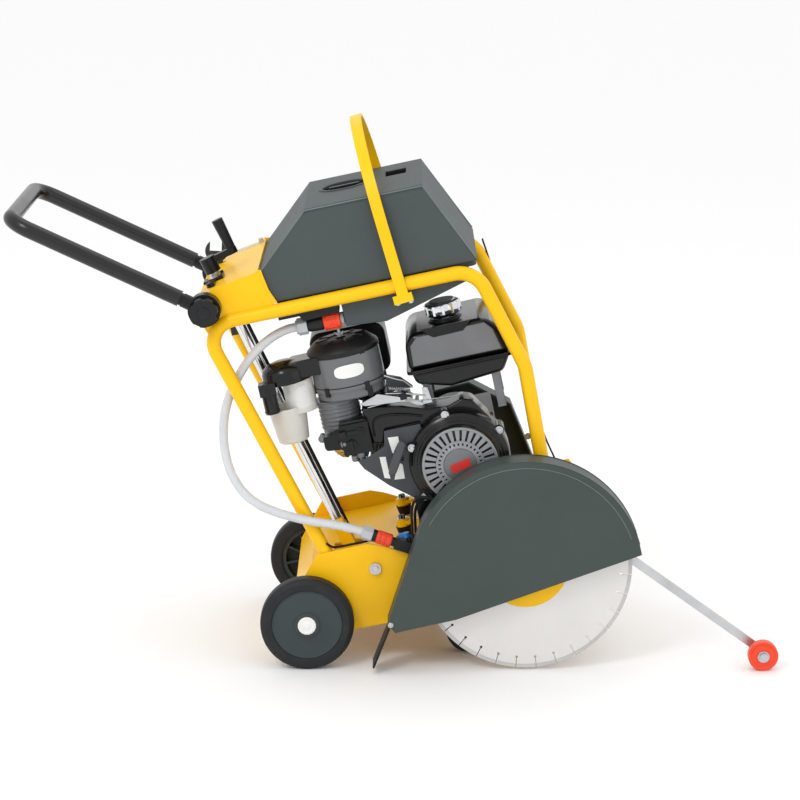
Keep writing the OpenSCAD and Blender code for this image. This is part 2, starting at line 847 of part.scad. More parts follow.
module engine_block() {
    case_low = 134;
    color("#3a3c3f") on_chassis() difference() {
        union() {
            block([296, -96, case_low + 12], [476, 96, crank_z + 66]);
            for (s = [-1, 1]) block([292, s > 0 ? 60 : -92, case_low], [480, s > 0 ? 92 : -60, case_low + 12]);
            bar(crank_x, crank_z, -120, 120, 76);
            translate([crank_x - 40, 0, crank_z + 10]) rotate([0, -cylinder_tilt, 0]) {
                translate([-62, -70, 30]) cube([124, 130, 24]);
                for (k = [0:5]) translate([-70, -78, 62 + k * 14]) cube([140, 146, 6]);
                translate([-50, -60, 50]) cube([100, 110, 96]);
                translate([-58, -66, 146]) cube([116, 122, 26]);
            }
            bar(crank_x, crank_z, 120, 150, 40);
        }
        bar(crank_x, crank_z, -121, 151, 16.05);
        bar(crank_x, crank_z, -121, -108, 60);
    }
}

// Crankshaft with the finned flywheel behind the recoil cover and the drive pulley
module crankshaft() {
    color("#7c8083") on_chassis() {
        bar(crank_x, crank_z, -150, pulley_y + 20, 16);
        difference() {
            bar(crank_x, crank_z, -186, -128, 84);
            for (k = [0:15]) translate([crank_x, -187, crank_z]) rotate([0, 22.5 * k, 0])
                translate([44, 0, -4]) cube([60, 34, 14]);
        }
        pulley(crank_x, crank_z, engine_pulley_r);
    }
}

module recoil_cover() {
    ring_r = recoil_d / 2;
    face_y = -228;
    color("#2a2b2d") on_chassis() difference() {
        union() {
            bar(crank_x, crank_z, -206, -124, ring_r);
            translate([crank_x, -206, crank_z]) rotate([90, 0, 0]) cylinder(r1 = 92, r2 = 80, h = 22);
            block([crank_x - 112, -196, crank_z - 134], [crank_x - 20, -124, crank_z - 60]);
            block([crank_x + 20, -190, crank_z - 134], [crank_x + 108, -124, crank_z - 60]);
            for (a = [20, 95, 150, 245, 320]) {
                bar(crank_x + (ring_r - 3) * cos(a), crank_z + (ring_r - 3) * sin(a), -202, -180, 11);
            }
        }
        bar(crank_x, crank_z, -201, -123, ring_r - 4);
        translate([crank_x, -200.9, crank_z]) rotate([90, 0, 0]) cylinder(r1 = 88, r2 = 76, h = 24);
        block([crank_x - 108, -192, crank_z - 131], [crank_x - 24, -123, crank_z - 40]);
        block([crank_x + 24, -186, crank_z - 131], [crank_x + 104, -123, crank_z - 40]);
        for (k = [0:27]) translate([crank_x, face_y - 1, crank_z]) rotate([0, k * 360 / 28, 0])
            translate([40, 0, -2]) cube([34, 8, 4]);
    }
}

module recoil_grip() {
    color("#1f2021") on_chassis() translate([262, -217, 307]) rotate([0, 30, 0]) {
        translate([-8, -11, -39]) cube([16, 22, 78]);
        translate([8, 0, 0]) rotate([0, 90, 0]) cylinder(r = 6, h = 6);
    }
}

module fuel_tank_shape(y0, y1) {
    slab([[322, 474], [325, 532], [342, 553], [500, 557], [528, 534], [546, 474], [520, 432],
        [404, 422], [330, 440]], y0, y1);
}

module fuel_tank() {
    neck = [418, -92];
    color("#161617") on_chassis() difference() {
        union() {
            difference() {
                union() {
                    fuel_tank_shape(-178, 60);
                    slab([[316, 468], [316, 478], [550, 478], [550, 468]], -181, 66);
                }
                translate([435, -60, 510]) scale(0.93) translate([-435, 60, -510]) fuel_tank_shape(-178, 60);
            }
            translate([neck[0], neck[1], 540]) cylinder(r = 34, h = 22);
        }
        translate([neck[0], neck[1], 530]) cylinder(r = 24, h = 60);
    }
}

module fuel_cap() {
    color("#8f9294") on_chassis() translate([418, -92, 562.5]) {
        cylinder(r = 39, h = 34);
        translate([0, 0, -16]) cylinder(r = 23.6, h = 17);
    }
}

// Air cleaner: round canister on its elbow, with a pre-cleaner and its inlet beside it
module air_cleaner() {
    can = [192, -112];
    pre = [62, -134];
    color("#3a3b3d") on_chassis() {
        translate([can[0], can[1], 440]) cylinder(r = 74, h = 24);
        translate([can[0], can[1], 464]) cylinder(r = 77, h = 81);
        translate([can[0], can[1], 545]) cylinder(r1 = 77, r2 = 58, h = 20);
        translate([can[0], can[1], 565]) cylinder(r = 4, h = 16);
        translate([can[0] - 8, can[1] - 3, 568]) cube([16, 6, 12]);
        translate([158, -118, 346]) cylinder(r = 44, h = 95);
        translate([pre[0], pre[1], 500]) cylinder(r = 50, h = 34);
        translate([pre[0], pre[1], 534]) cylinder(r1 = 50, r2 = 34, h = 12);
        block([pre[0], -172, 504], [140, -96, 542]);
        translate([22, -170, 444]) cylinder(r = 16, h = 66);
    }
}

module dust_bowl() {
    color("#dcdad2") on_chassis() translate([62, -128, 368]) difference() {
        cylinder(r1 = 33, r2 = 38, h = 132);
        translate([0, 0, 4]) cylinder(r1 = 30, r2 = 35.2, h = 129);
    }
}

throttle = [300, -152];
choke = [196, 374];
switch = [172, 348];

module carburettor() {
    color("#77797b") on_chassis() {
        block([210, -150, 372], [262, -96, 424]);
        translate([236, -124, 346]) cylinder(r = 20, h = 27);
        translate([236, -124, 340]) cylinder(r = 6, h = 7);
        block([152, -192, 326], [214, -163, 392]);
        block([204, -170, 350], [224, -130, 380]);
        bar(choke[0], choke[1], -198, -190, 4);
        block([258, -160, 418], [314, -110, 424]);
        translate([throttle[0], throttle[1], 423]) cylinder(r = 4, h = 12);
    }
}

module throttle_lever() {
    color(black) on_chassis() translate([throttle[0], throttle[1], 424.5]) difference() {
        union() {
            cylinder(r = 10, h = 5);
            translate([-4, -34, 0]) cube([8, 34, 3]);
            translate([-7, -46, -2]) cube([14, 14, 12]);
        }
        translate([0, 0, -1]) cylinder(r = 4.05, h = 12);
    }
}

module choke_lever() {
    color(black) on_chassis() difference() {
        union() {
            bar(choke[0], choke[1], -196, -192.5, 8);
            block([choke[0] - 34, -196, choke[1] - 4], [choke[0], -193, choke[1] + 4]);
            block([choke[0] - 46, -203, choke[1] - 7], [choke[0] - 32, -193, choke[1] + 7]);
        }
        bar(choke[0], choke[1], -210, -180, 4.05);
    }
}

module stop_switch() {
    color("#c02a20") on_chassis() {
        bar(switch[0], switch[1], -197, -192.5, 11);
        block([switch[0] - 3, -203, switch[1] - 10], [switch[0] + 3, -196, switch[1] + 10]);
    }
}

module muffler() {
    color("#2d2e30") on_chassis() difference() {
        union() {
            block([108, 62, 430], [280, 176, 548]);
            translate([190, 176, 489]) rotate([-90, 0, 0]) cylinder(r = 34, h = 6);
            translate([109, 118, 470]) rotate([0, -90, 0]) cylinder(r = 14, h = 22);
            translate([236, 63, 450]) rotate([90, 0, 0]) cylinder(r = 16, h = 20);
        }
        translate([110, 118, 470]) rotate([0, -90, 0]) cylinder(r = 11, h = 24);
    }
}

// --- guard and pointer ------------------------------------------------------
guard_cx = 479;
guard_cz = 22;
guard_r = 245;
guard_y0 = -300;
guard_y1 = -235;

// The guard's side view, moved inward by inset and with its foot lowered by drop
module guard_outline(inset, drop) {
    r = guard_r - inset;
    turn = 149.5;
    corner = [guard_cx + r * cos(turn), guard_cz + r * sin(turn)];
    heel = [170 + 1.15 * inset, -24 - inset / 2];
    toe = [182 + 1.15 * inset, -45 - drop];
    step = [313, -43 - drop];
    front = [800, 26 - drop];
    intersection() {
        translate([guard_cx, guard_cz]) circle(r = r);
        polygon([step, front, [800, 600], [0, 600],
            [guard_cx + 500 * cos(turn), guard_cz + 500 * sin(turn)], [guard_cx, guard_cz]]);
    }
    polygon([[guard_cx + 4, guard_cz], corner, heel, toe, step]);
}

module guard_solid(y0, y1, inset, drop) {
    translate([0, y1, 0]) rotate([90, 0, 0]) linear_extrude(y1 - y0) guard_outline(inset, drop);
}

module blade_guard() {
    skin = 3;
    color(dark) on_chassis() difference() {
        union() {
            difference() {
                guard_solid(guard_y0, guard_y1, 0, 0);
                guard_solid(guard_y0 + skin, guard_y1 - skin, skin, 30);
            }
            bar(guard_x, guard_z, guard_y1 - 10, guard_y1 - skin + 1, 15);
        }
        bar(guard_x, guard_z, guard_y1 - 12, guard_y1 + 1, 8.06);
        bar(arbor_x, arbor_z, guard_y1 - skin - 1, guard_y1 + 1, 36);
        slab([[444, 31], [430, -60], [506, -60], [516, 31]], guard_y1 - skin - 1, guard_y1 + 1);
    }
}

module mud_flap() {
    color("#26282a") on_chassis() translate([174, -299, -30]) rotate([0, 213, 0])
        block([-2, 0, 0], [2, 63, 98]);
}

roller_at = [935, -268.1];

module pointer_arm() {
    reach = roller_at - [pointer_x, pointer_z];
    length = norm(reach);
    color("#c9cccf") on_chassis() {
        translate([pointer_x, -224, pointer_z]) rotate([90, 0, 0]) linear_extrude(5) difference() {
            union() {
                rotate([0, 0, atan2(reach[1], reach[0])]) translate([0, -9]) square([length, 18]);
                circle(r = 14);
                translate(reach) circle(r = 12);
            }
            circle(r = 6.06);
        }
        bar(roller_at[0], roller_at[1], -281, -226, 5);
        bar(roller_at[0], roller_at[1], -283, -275, 9);
    }
}

module pointer_wheel() {
    color("#e2431f") on_chassis() difference() {
        bar(roller_at[0], roller_at[1], -274.5, -249.5, 32);
        bar(roller_at[0], roller_at[1], -276, -248, 5.05);
        ring(roller_at[0], roller_at[1], -276, -272, 25, 14);
    }
}

base_frame();
frame_loop_right();
frame_loop_left();
console();
lifting_bail();
frame_bolts();
water_tank();
tank_cap();
tank_coupler();
water_hose();
valve_coupler();
water_valve();
valve_lever();
chassis_lines();
pointer_cord();
handle_bar();
handle_sleeve();
star_knob_right();
star_knob_left();
crank_arm();
crank_grip();
lift_tube();
lift_yoke();
depth_rod();
depth_scale();
spanner();
crank_lock();
rear_axle();
rear_wheel_right();
rear_wheel_left();
swing_frame();
front_axle();
front_wheel_right();
front_wheel_left();
arbor_bearings();
arbor_shaft();
blade_flanges();
blade_core();
blade_segments();
v_belts();
belt_cover();
engine_bed();
rubber_buffers();
engine_block();
crankshaft();
recoil_cover();
recoil_grip();
fuel_tank();
fuel_cap();
air_cleaner();
dust_bowl();
carburettor();
throttle_lever();
choke_lever();
stop_switch();
muffler();
blade_guard();
mud_flap();
pointer_arm();
pointer_wheel();
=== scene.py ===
"""Looks of a walk-behind concrete saw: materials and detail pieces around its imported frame.

Lengths are in millimetres of the chassis, which lies level in these numbers: x forward and z up
from the rear axle, y to the machine's left. Shape.piece() tilts them into their place, in metres.
"""
import json
from math import atan2, cos, pi, radians, sin

import bmesh
import bpy
from mathutils import Matrix, Vector


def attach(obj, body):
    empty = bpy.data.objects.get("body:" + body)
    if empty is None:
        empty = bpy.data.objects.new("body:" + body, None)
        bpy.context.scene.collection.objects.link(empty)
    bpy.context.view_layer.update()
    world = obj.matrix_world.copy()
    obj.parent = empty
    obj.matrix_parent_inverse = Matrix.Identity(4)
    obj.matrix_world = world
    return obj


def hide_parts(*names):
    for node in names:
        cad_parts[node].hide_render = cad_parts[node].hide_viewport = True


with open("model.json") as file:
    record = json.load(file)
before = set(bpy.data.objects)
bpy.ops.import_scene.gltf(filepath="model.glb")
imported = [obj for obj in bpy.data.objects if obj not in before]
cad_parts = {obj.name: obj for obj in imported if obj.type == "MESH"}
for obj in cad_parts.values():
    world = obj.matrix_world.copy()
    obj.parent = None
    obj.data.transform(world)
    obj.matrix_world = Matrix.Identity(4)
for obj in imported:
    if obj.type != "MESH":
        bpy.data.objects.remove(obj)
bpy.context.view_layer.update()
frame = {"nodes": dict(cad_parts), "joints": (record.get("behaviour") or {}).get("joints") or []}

scene = bpy.context.scene
nodes = frame["nodes"]
joints = {j["name"]: j for j in frame["joints"]}

# --- the chassis's own place -----------------------------------------------
UP = Vector(joints["spanner_lift"]["axis"])
PITCH = atan2(-UP.x, UP.z)
AXLE = Vector(joints["rear_wheel_right_spin"]["pos_m"])
SIDE_SHIFT = Vector(joints["carriage_swing"]["pos_m"]).y
CHASSIS = (
    Matrix.Translation((AXLE.x, SIDE_SHIFT, AXLE.z))
    @ Matrix.Rotation(-PITCH, 4, "Y")
    @ Matrix.Scale(0.001, 4)
)


def at(x, y, z):
    """A place without a turn."""
    return Matrix.Translation((x, y, z))


def turned(degrees, axis):
    return Matrix.Rotation(radians(degrees), 4, axis)


def facing(x, y, z, direction, spin=0.0):
    """Local +Z runs along direction from the point."""
    quat = Vector(direction).to_track_quat("Z", "X")
    return at(x, y, z) @ quat.to_matrix().to_4x4() @ turned(spin, "Z")


def near(x, z, y):
    """Local +Z points out of the machine's right side, and local +X stays forward."""
    return at(x, y, z) @ turned(90, "X")


def far(x, z, y):
    """Local +Z points out of the machine's left side."""
    return at(x, y, z) @ turned(-90, "X")


# --- camera ------------------------------------------------------------------
SENSOR = 36.0
LENS = 122.4
AXLE_LEFT_OF_CAMERA = 0.1975
CAMERA_DISTANCE = 5.77
CAMERA_HEIGHT = 1.907
CAMERA_DIP = 13.44
camera_data = bpy.data.cameras.new("camera")
camera_data.lens = LENS
camera_data.sensor_width = SENSOR
camera_data.clip_end = 200
camera = bpy.data.objects.new("camera", camera_data)
camera.location = (AXLE.x + AXLE_LEFT_OF_CAMERA, SIDE_SHIFT - CAMERA_DISTANCE, CAMERA_HEIGHT)
camera.rotation_euler = (radians(90 - CAMERA_DIP), 0, 0)
scene.collection.objects.link(camera)
scene.camera = camera


# --- materials ---------------------------------------------------------------
def hexed(code):
    """A linear colour from an sRGB code such as 'ffcb0e'."""
    parts = [int(code[i:i + 2], 16) / 255 for i in (0, 2, 4)]
    return tuple(c / 12.92 if c <= 0.04045 else ((c + 0.055) / 1.055) ** 2.4 for c in parts) + (1,)


def surface(name, code, rough, metallic=0.0, vary=0.12, grain=0.0, grain_scale=400.0, coat=0.0,
            edge=0.0015, dirt=None, scratch=0.0, spec=0.5):
    """A finish with drifting tone, uneven gloss, fine grain and rounded-looking edges."""
    material = bpy.data.materials.new(name)
    material.use_nodes = True
    tree = material.node_tree
    add = tree.nodes.new
    link = tree.links.new
    shader = tree.nodes["Principled BSDF"]
    shader.inputs["Metallic"].default_value = metallic
    shader.inputs["Coat Weight"].default_value = coat
    shader.inputs["Coat Roughness"].default_value = 0.12
    shader.inputs["Specular IOR Level"].default_value = spec
    place = add("ShaderNodeTexCoord")
    clouds = add("ShaderNodeTexNoise")
    clouds.inputs["Scale"].default_value = 9.0
    clouds.inputs["Detail"].default_value = 6.0
    clouds.inputs["Roughness"].default_value = 0.65
    link(place.outputs["Object"], clouds.inputs["Vector"])
    ramp = add("ShaderNodeValToRGB")
    base = hexed(code)
    low = tuple(c * (1 - vary) for c in base[:3]) + (1,)
    high = tuple(min(c * (1 + 0.5 * vary), 1) for c in base[:3]) + (1,)
    ramp.color_ramp.elements[0].position = 0.3
    ramp.color_ramp.elements[1].position = 0.7
    ramp.color_ramp.elements[0].color = low
    ramp.color_ramp.elements[1].color = high
    link(clouds.outputs["Fac"], ramp.inputs["Fac"])
    colour = ramp.outputs["Color"]
    if dirt:
        spots = add("ShaderNodeTexNoise")
        spots.inputs["Scale"].default_value = 34.0
        spots.inputs["Detail"].default_value = 8.0
        link(place.outputs["Object"], spots.inputs["Vector"])
        limit = add("ShaderNodeValToRGB")
        limit.color_ramp.elements[0].position = 0.52
        limit.color_ramp.elements[1].position = 0.80
        limit.color_ramp.elements[1].color = (dirt[1], dirt[1], dirt[1], 1)
        link(spots.outputs["Fac"], limit.inputs["Fac"])
        blend = add("ShaderNodeMixRGB")
        blend.inputs["Color2"].default_value = hexed(dirt[0])
        link(limit.outputs["Color"], blend.inputs["Fac"])
        link(colour, blend.inputs["Color1"])
        colour = blend.outputs["Color"]
    bevel = add("ShaderNodeBevel")
    bevel.samples = 4
    bevel.inputs["Radius"].default_value = edge
    link(colour, shader.inputs["Base Color"])
    gloss = add("ShaderNodeMapRange")
    gloss.inputs["To Min"].default_value = max(rough - 0.08, 0.03)
    gloss.inputs["To Max"].default_value = min(rough + 0.10, 1)
    link(clouds.outputs["Fac"], gloss.inputs["Value"])
    link(gloss.outputs["Result"], shader.inputs["Roughness"])
    normal = bevel.outputs["Normal"]
    if grain:
        fine = add("ShaderNodeTexNoise")
        fine.inputs["Scale"].default_value = grain_scale
        fine.inputs["Detail"].default_value = 3.0
        link(place.outputs["Object"], fine.inputs["Vector"])
        bump = add("ShaderNodeBump")
        bump.inputs["Strength"].default_value = grain
        bump.inputs["Distance"].default_value = 0.0006
        link(fine.outputs["Fac"], bump.inputs["Height"])
        link(normal, bump.inputs["Normal"])
        normal = bump.outputs["Normal"]
    if scratch:
        stretch = add("ShaderNodeMapping")
        stretch.inputs["Scale"].default_value = (900, 900, 14)
        lines = add("ShaderNodeTexNoise")
        lines.inputs["Scale"].default_value = 1.0
        lines.inputs["Detail"].default_value = 4.0
        link(place.outputs["Object"], stretch.inputs["Vector"])
        link(stretch.outputs["Vector"], lines.inputs["Vector"])
        brushed = add("ShaderNodeBump")
        brushed.inputs["Strength"].default_value = scratch
        brushed.inputs["Distance"].default_value = 0.0003
        link(lines.outputs["Fac"], brushed.inputs["Height"])
        link(normal, brushed.inputs["Normal"])
        normal = brushed.outputs["Normal"]
    link(normal, shader.inputs["Normal"])
    return material


YELLOW = surface("yellow_coat", "fbc208", 0.34, vary=0.05, grain=0.10, grain_scale=700, coat=0.05,
                 edge=0.0016, spec=0.22)
GUARD_GREY = surface("guard_coat", "414a48", 0.42, vary=0.06, grain=0.22, grain_scale=900,
                     edge=0.0016, spec=0.25)
TANK_GREY = surface("tank_moulding", "4a5252", 0.5, vary=0.06, grain=0.20, grain_scale=1100,
                    edge=0.006, spec=0.15)
BLACK_GLOSS = surface("black_enamel", "0d0e0f", 0.18, vary=0.2, coat=0.15, edge=0.003, grain=0.06,
                      spec=0.3)
BLACK_PAINT = surface("black_coat", "121315", 0.30, vary=0.18, grain=0.15, grain_scale=600,
                      edge=0.0015, spec=0.3)
BLACK_PLASTIC = surface("black_moulding", "18191b", 0.36, vary=0.12, grain=0.30, grain_scale=1300,
                        edge=0.0015, spec=0.3)
GRIP_GREY = surface("grip_moulding", "3f4144", 0.42, vary=0.08, grain=0.25, grain_scale=1200,
                    edge=0.002)
CAN_GREY = surface("canister_moulding", "66686b", 0.22, vary=0.08, grain=0.12, grain_scale=900,
                   edge=0.002)
RUBBER = surface("rubber", "131416", 0.5, vary=0.2, grain=0.35, grain_scale=800, edge=0.002,
                 dirt=("3a3733", 0.15), spec=0.25)
SLEEVE = surface("sleeve_vinyl", "0c0d0e", 0.24, vary=0.15, grain=0.08, grain_scale=500, edge=0.002,
                 spec=0.5)
TYRE = surface("tyre_rubber", "1f2123", 0.55, vary=0.14, grain=0.35, grain_scale=500, edge=0.003,
               dirt=("4a4742", 0.15), spec=0.3)
WHEEL_GREY = surface("wheel_moulding", "3a4243", 0.5, vary=0.08, grain=0.25, grain_scale=900,
                     edge=0.0025, dirt=("5a584f", 0.10), spec=0.25)
STEEL = surface("machined_steel", "b9bcc0", 0.30, metallic=1.0, vary=0.12, scratch=0.35,
                edge=0.0008)
ZINC = surface("zinc_plate", "c9cbcd", 0.34, metallic=1.0, vary=0.18, grain=0.12, grain_scale=500,
               edge=0.001)
CHROME = surface("chrome_plate", "dfe1e4", 0.09, metallic=1.0, vary=0.05, edge=0.0008)
CAST = surface("cast_aluminium", "85888b", 0.48, metallic=0.85, vary=0.15, grain=0.6,
               grain_scale=420, edge=0.0015)
DARK_CAST = surface("painted_casting", "2a2b2e", 0.42, vary=0.2, grain=0.5, grain_scale=380,
                    edge=0.002)
BLADE = surface("blade_steel", "dddbd8", 0.42, metallic=0.35, vary=0.04, scratch=0.15, edge=0.0005)
SEGMENT = surface("diamond_segment", "c4c3c1", 0.62, metallic=0.3, vary=0.12, grain=0.9,
                  grain_scale=900, edge=0.0006)
ORANGE = surface("red_orange_moulding", "f0431d", 0.34, vary=0.06, grain=0.12, grain_scale=900,
                 edge=0.0012)
BLUE = surface("blue_moulding", "1c6fb8", 0.36, vary=0.06, grain=0.12, grain_scale=900, edge=0.0012)
RED = surface("red_moulding", "c9261c", 0.34, vary=0.06, grain=0.1, grain_scale=900, edge=0.0012)
LABEL = surface("blank_label", "e9e9e6", 0.4, vary=0.04, edge=0.0004)
BRASS = surface("brass", "b5924a", 0.3, metallic=1.0, vary=0.15, edge=0.0008)
HOSE_BORE = surface("hose_bore", "d6dade", 0.25, vary=0.15)
GRILLE = surface("grille_paint", "909395", 0.3, metallic=0.6, vary=0.08, grain=0.1, edge=0.0006)
BADGE = surface("badge_plate", "77797c", 0.3, metallic=0.7, vary=0.1, edge=0.0006)
TANK_PANEL = surface("tank_side_enamel", "66676a", 0.30, vary=0.15, coat=0.4, edge=0.003)
FUEL_CAP = surface("fuel_cap_enamel", "707274", 0.34, metallic=0.5, vary=0.2, coat=0.4, edge=0.002)
DARK_PLATE = surface("side_plate_coat", "3b3d42", 0.5, vary=0.1, grain=0.25, grain_scale=900,
                     edge=0.0012)
COUPLER_GREY = surface("coupler_nut", "b9bdc1", 0.42, vary=0.08, grain=0.15, edge=0.001)
SPECKLED = surface("speckled_label", "d8d8d6", 0.4, vary=0.05, dirt=("77787a", 0.7))
# painted highlight: a lighter grey for beads that stand in for light on the tank's rounded edges
EDGE_HIGHLIGHT_GREY = surface("tank_rim_highlight", "6d7677", 0.36, vary=0.06, spec=0.3)
# painted highlight: a lighter grey for the line where the guard's face folds into its rim
FOLD_HIGHLIGHT_GREY = surface("guard_crease_highlight_coat", "6b7472", 0.3, vary=0.06)


def milky(name, code, rough, see_through, tone):
    """Translucent moulding: part clear, part cloudy, with drifting cloudiness."""
    material = surface(name, code, rough, vary=0.06, grain=0.05)
    tree = material.node_tree
    shader = tree.nodes["Principled BSDF"]
    shader.inputs["Transmission Weight"].default_value = see_through
    shader.inputs["Subsurface Weight"].default_value = tone
    shader.inputs["Subsurface Radius"].default_value = (0.02, 0.02, 0.02)
    shader.inputs["IOR"].default_value = 1.35
    return material


HOSE = milky("clear_hose", "eef0f3", 0.14, 0.35, 0.25)
BOWL = milky("milky_bowl", "efeee8", 0.32, 0.28, 0.3)


# --- mesh building -------------------------------------------------------------
class Shape:
    """Collects simple solids into one mesh, then hands it over as a piece."""

    def __init__(self):
        self.verts = []
        self.faces = []

    def add(self, verts, faces, place):
        start = len(self.verts)
        self.verts += [place @ Vector(v) for v in verts]
        self.faces += [[start + i for i in f] for f in faces]
        return self

    def prism(self, outline, low, high, place=Matrix()):
        """An outline in local x and y, drawn from z = low to high."""
        n = len(outline)
        verts = [(x, y, low) for x, y in outline] + [(x, y, high) for x, y in outline]
        faces = [list(range(n))[::-1], list(range(n, 2 * n))]
        faces += [[i, (i + 1) % n, n + (i + 1) % n, n + i] for i in range(n)]
        return self.add(verts, faces, place)

    def box(self, low, high, place=Matrix()):
        outline = [(low[0], low[1]), (high[0], low[1]), (high[0], high[1]), (low[0], high[1])]
        return self.prism(outline, low[2], high[2], place)

    def side(self, outline, y0, y1):
        """A level outline in x and z, drawn across the machine from y0 to y1."""
        return self.prism(outline, -y1, -y0, turned(90, "X"))

    def turn(self, profile, place=Matrix(), n=48):
        """A profile of (radius, height) turned about local z; radius 0 closes an end."""
        verts, rings = [], []
        for r, z in profile:
            if r < 1e-6:
                rings.append([len(verts)] * n)
                verts.append((0, 0, z))
            else:
                rings.append(list(range(len(verts), len(verts) + n)))
                verts += [(r * cos(2 * pi * k / n), r * sin(2 * pi * k / n), z) for k in range(n)]
        faces = []
        for a, b in zip(rings, rings[1:]):
            for k in range(n):
                loop = [a[k], a[(k + 1) % n], b[(k + 1) % n], b[k]]
                unique = list(dict.fromkeys(loop))
                if len(unique) > 2:
                    faces.append(unique)
        return self.add(verts, faces, place)

    def disc(self, r, low, high, place=Matrix(), n=48, soft=0.0):
        """A round solid with softened rims."""
        s = soft
        rims = [(0, low), (r - s, low), (r, low + s), (r, high - s), (r - s, high), (0, high)]
        if not s:
            rims = [(0, low), (r, low), (r, high), (0, high)]
        return self.turn(rims, place, n)

    def ring(self, r, bore, low, high, place=Matrix(), n=48, soft=0.0):
        s = soft
        loop = [(bore + s, low), (r - s, low), (r, low + s), (r, high - s), (r - s, high),
                (bore + s, high), (bore, high - s), (bore, low + s), (bore + s, low)]
        return self.turn(loop, place, n)

    def tube(self, path, r, n=12):
        """A round line along a list of points."""
        points = [Vector(p) for p in path]
        verts, faces = [], []
        side = None
        for i, p in enumerate(points):
            along = (points[min(i + 1, len(points) - 1)] - points[max(i - 1, 0)]).normalized()
            if side is None:
                side = along.orthogonal().normalized()
            side = (side - along * side.dot(along)).normalized()
            other = along.cross(side)
            verts += [p + r * (cos(2 * pi * k / n) * side + sin(2 * pi * k / n) * other)
                      for k in range(n)]
        for i in range(len(points) - 1):
            for k in range(n):
                a, b = i * n + k, i * n + (k + 1) % n
                faces.append([a, b, b + n, a + n])
        last = (len(points) - 1) * n
        faces += [list(range(n))[::-1], [last + k for k in range(n)]]
        return self.add(verts, faces, Matrix())

    def hexagon(self, across, low, high, place=Matrix()):
        r = across / 2 / cos(radians(30))
        corners = [(r * cos(radians(60 * k)), r * sin(radians(60 * k))) for k in range(6)]
        return self.prism(corners, low, high, place)

    def bolt(self, place, across, head):
        """A hexagon bolt head with its washer, standing on local z = 0."""
        self.ring(across * 0.85, across * 0.3, 0, 1.4, place, 32, 0.3)
        self.hexagon(across, 1.2, head, place)
        return self.disc(across * 0.40, head - 0.2, head + 0.7, place, 24, 0.4)

    def piece(self, name, material, body, slot=None, bevel=0.6, replaces=(), smooth=32, segments=2):
        """Makes the object, tilts it into place and lets it ride on its body."""
        mesh = bpy.data.meshes.new(name)
        mesh.from_pydata([CHASSIS @ v for v in self.verts], [], self.faces)
        work = bmesh.new()
        work.from_mesh(mesh)
        bmesh.ops.remove_doubles(work, verts=work.verts, dist=1e-7)
        bmesh.ops.recalc_face_normals(work, faces=work.faces)
        work.to_mesh(mesh)
        work.free()
        mesh.materials.append(material)
        obj = bpy.data.objects.new(name, mesh)
        scene.collection.objects.link(obj)
        if bevel:
            soften = obj.modifiers.new("soft_edges", "BEVEL")
            soften.width = bevel / 1000
            soften.segments = segments
            soften.limit_method = "ANGLE"
            soften.angle_limit = radians(smooth)
        shade(obj, smooth)
        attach(obj, body)
        if replaces:
            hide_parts(*replaces)
        return obj


def shade(obj, degrees):
    """Smooth shading that keeps edges sharper than the angle."""
    for polygon in obj.data.polygons:
        polygon.use_smooth = True
    obj.data.set_sharp_from_angle(angle=radians(degrees))


def smooth_route(points, steps=6):
    """Points along a smooth curve through the given ones."""
    p = [Vector(q) for q in points]
    out = []
    for i in range(len(p) - 1):
        a, b, c, d = p[max(i - 1, 0)], p[i], p[i + 1], p[min(i + 2, len(p) - 1)]
        for k in range(steps):
            t = k / steps
            out.append(0.5 * (2 * b + (c - a) * t + (2 * a - 5 * b + 4 * c - d) * t * t
                              + (3 * b - a - 3 * c + d) * t ** 3))
    return out + [p[-1]]


def arc(cx, cy, r, start, end, n):
    """Points of a flat arc, with its angles in degrees."""
    return [(cx + r * cos(radians(start + (end - start) * k / n)),
             cy + r * sin(radians(start + (end - start) * k / n))) for k in range(n + 1)]


# --- the water hose ------------------------------------------------------
HOSE_ROUTE = [
    (112, -150, 613), (88, -150, 612), (60, -151, 605), (30, -154, 591), (0, -158, 570),
    (-26, -163, 545), (-50, -169, 516), (-70, -176, 484), (-84, -184, 448), (-92, -193, 408),
    (-93, -202, 368), (-86, -211, 331), (-70, -219, 297), (-45, -225, 269), (-14, -227, 247),
    (20, -227, 228), (56, -226, 211), (92, -223, 196), (126, -219, 180), (156, -216, 163),
]
HOSE_R = 9.5
HOSE_WALL = 2.6


def water_hose():
    route = smooth_route(HOSE_ROUTE, 5)
    hose = Shape().tube(route, HOSE_R, 24).piece(
        "hose_clear", HOSE, "chassis", "clear_hose", bevel=0, replaces=("water_hose",))
    bore = Shape().tube(route[1:-1], HOSE_R - HOSE_WALL, 16).piece(
        "hose_bore", HOSE_BORE, "chassis", "clear_hose", bevel=0)


water_hose()

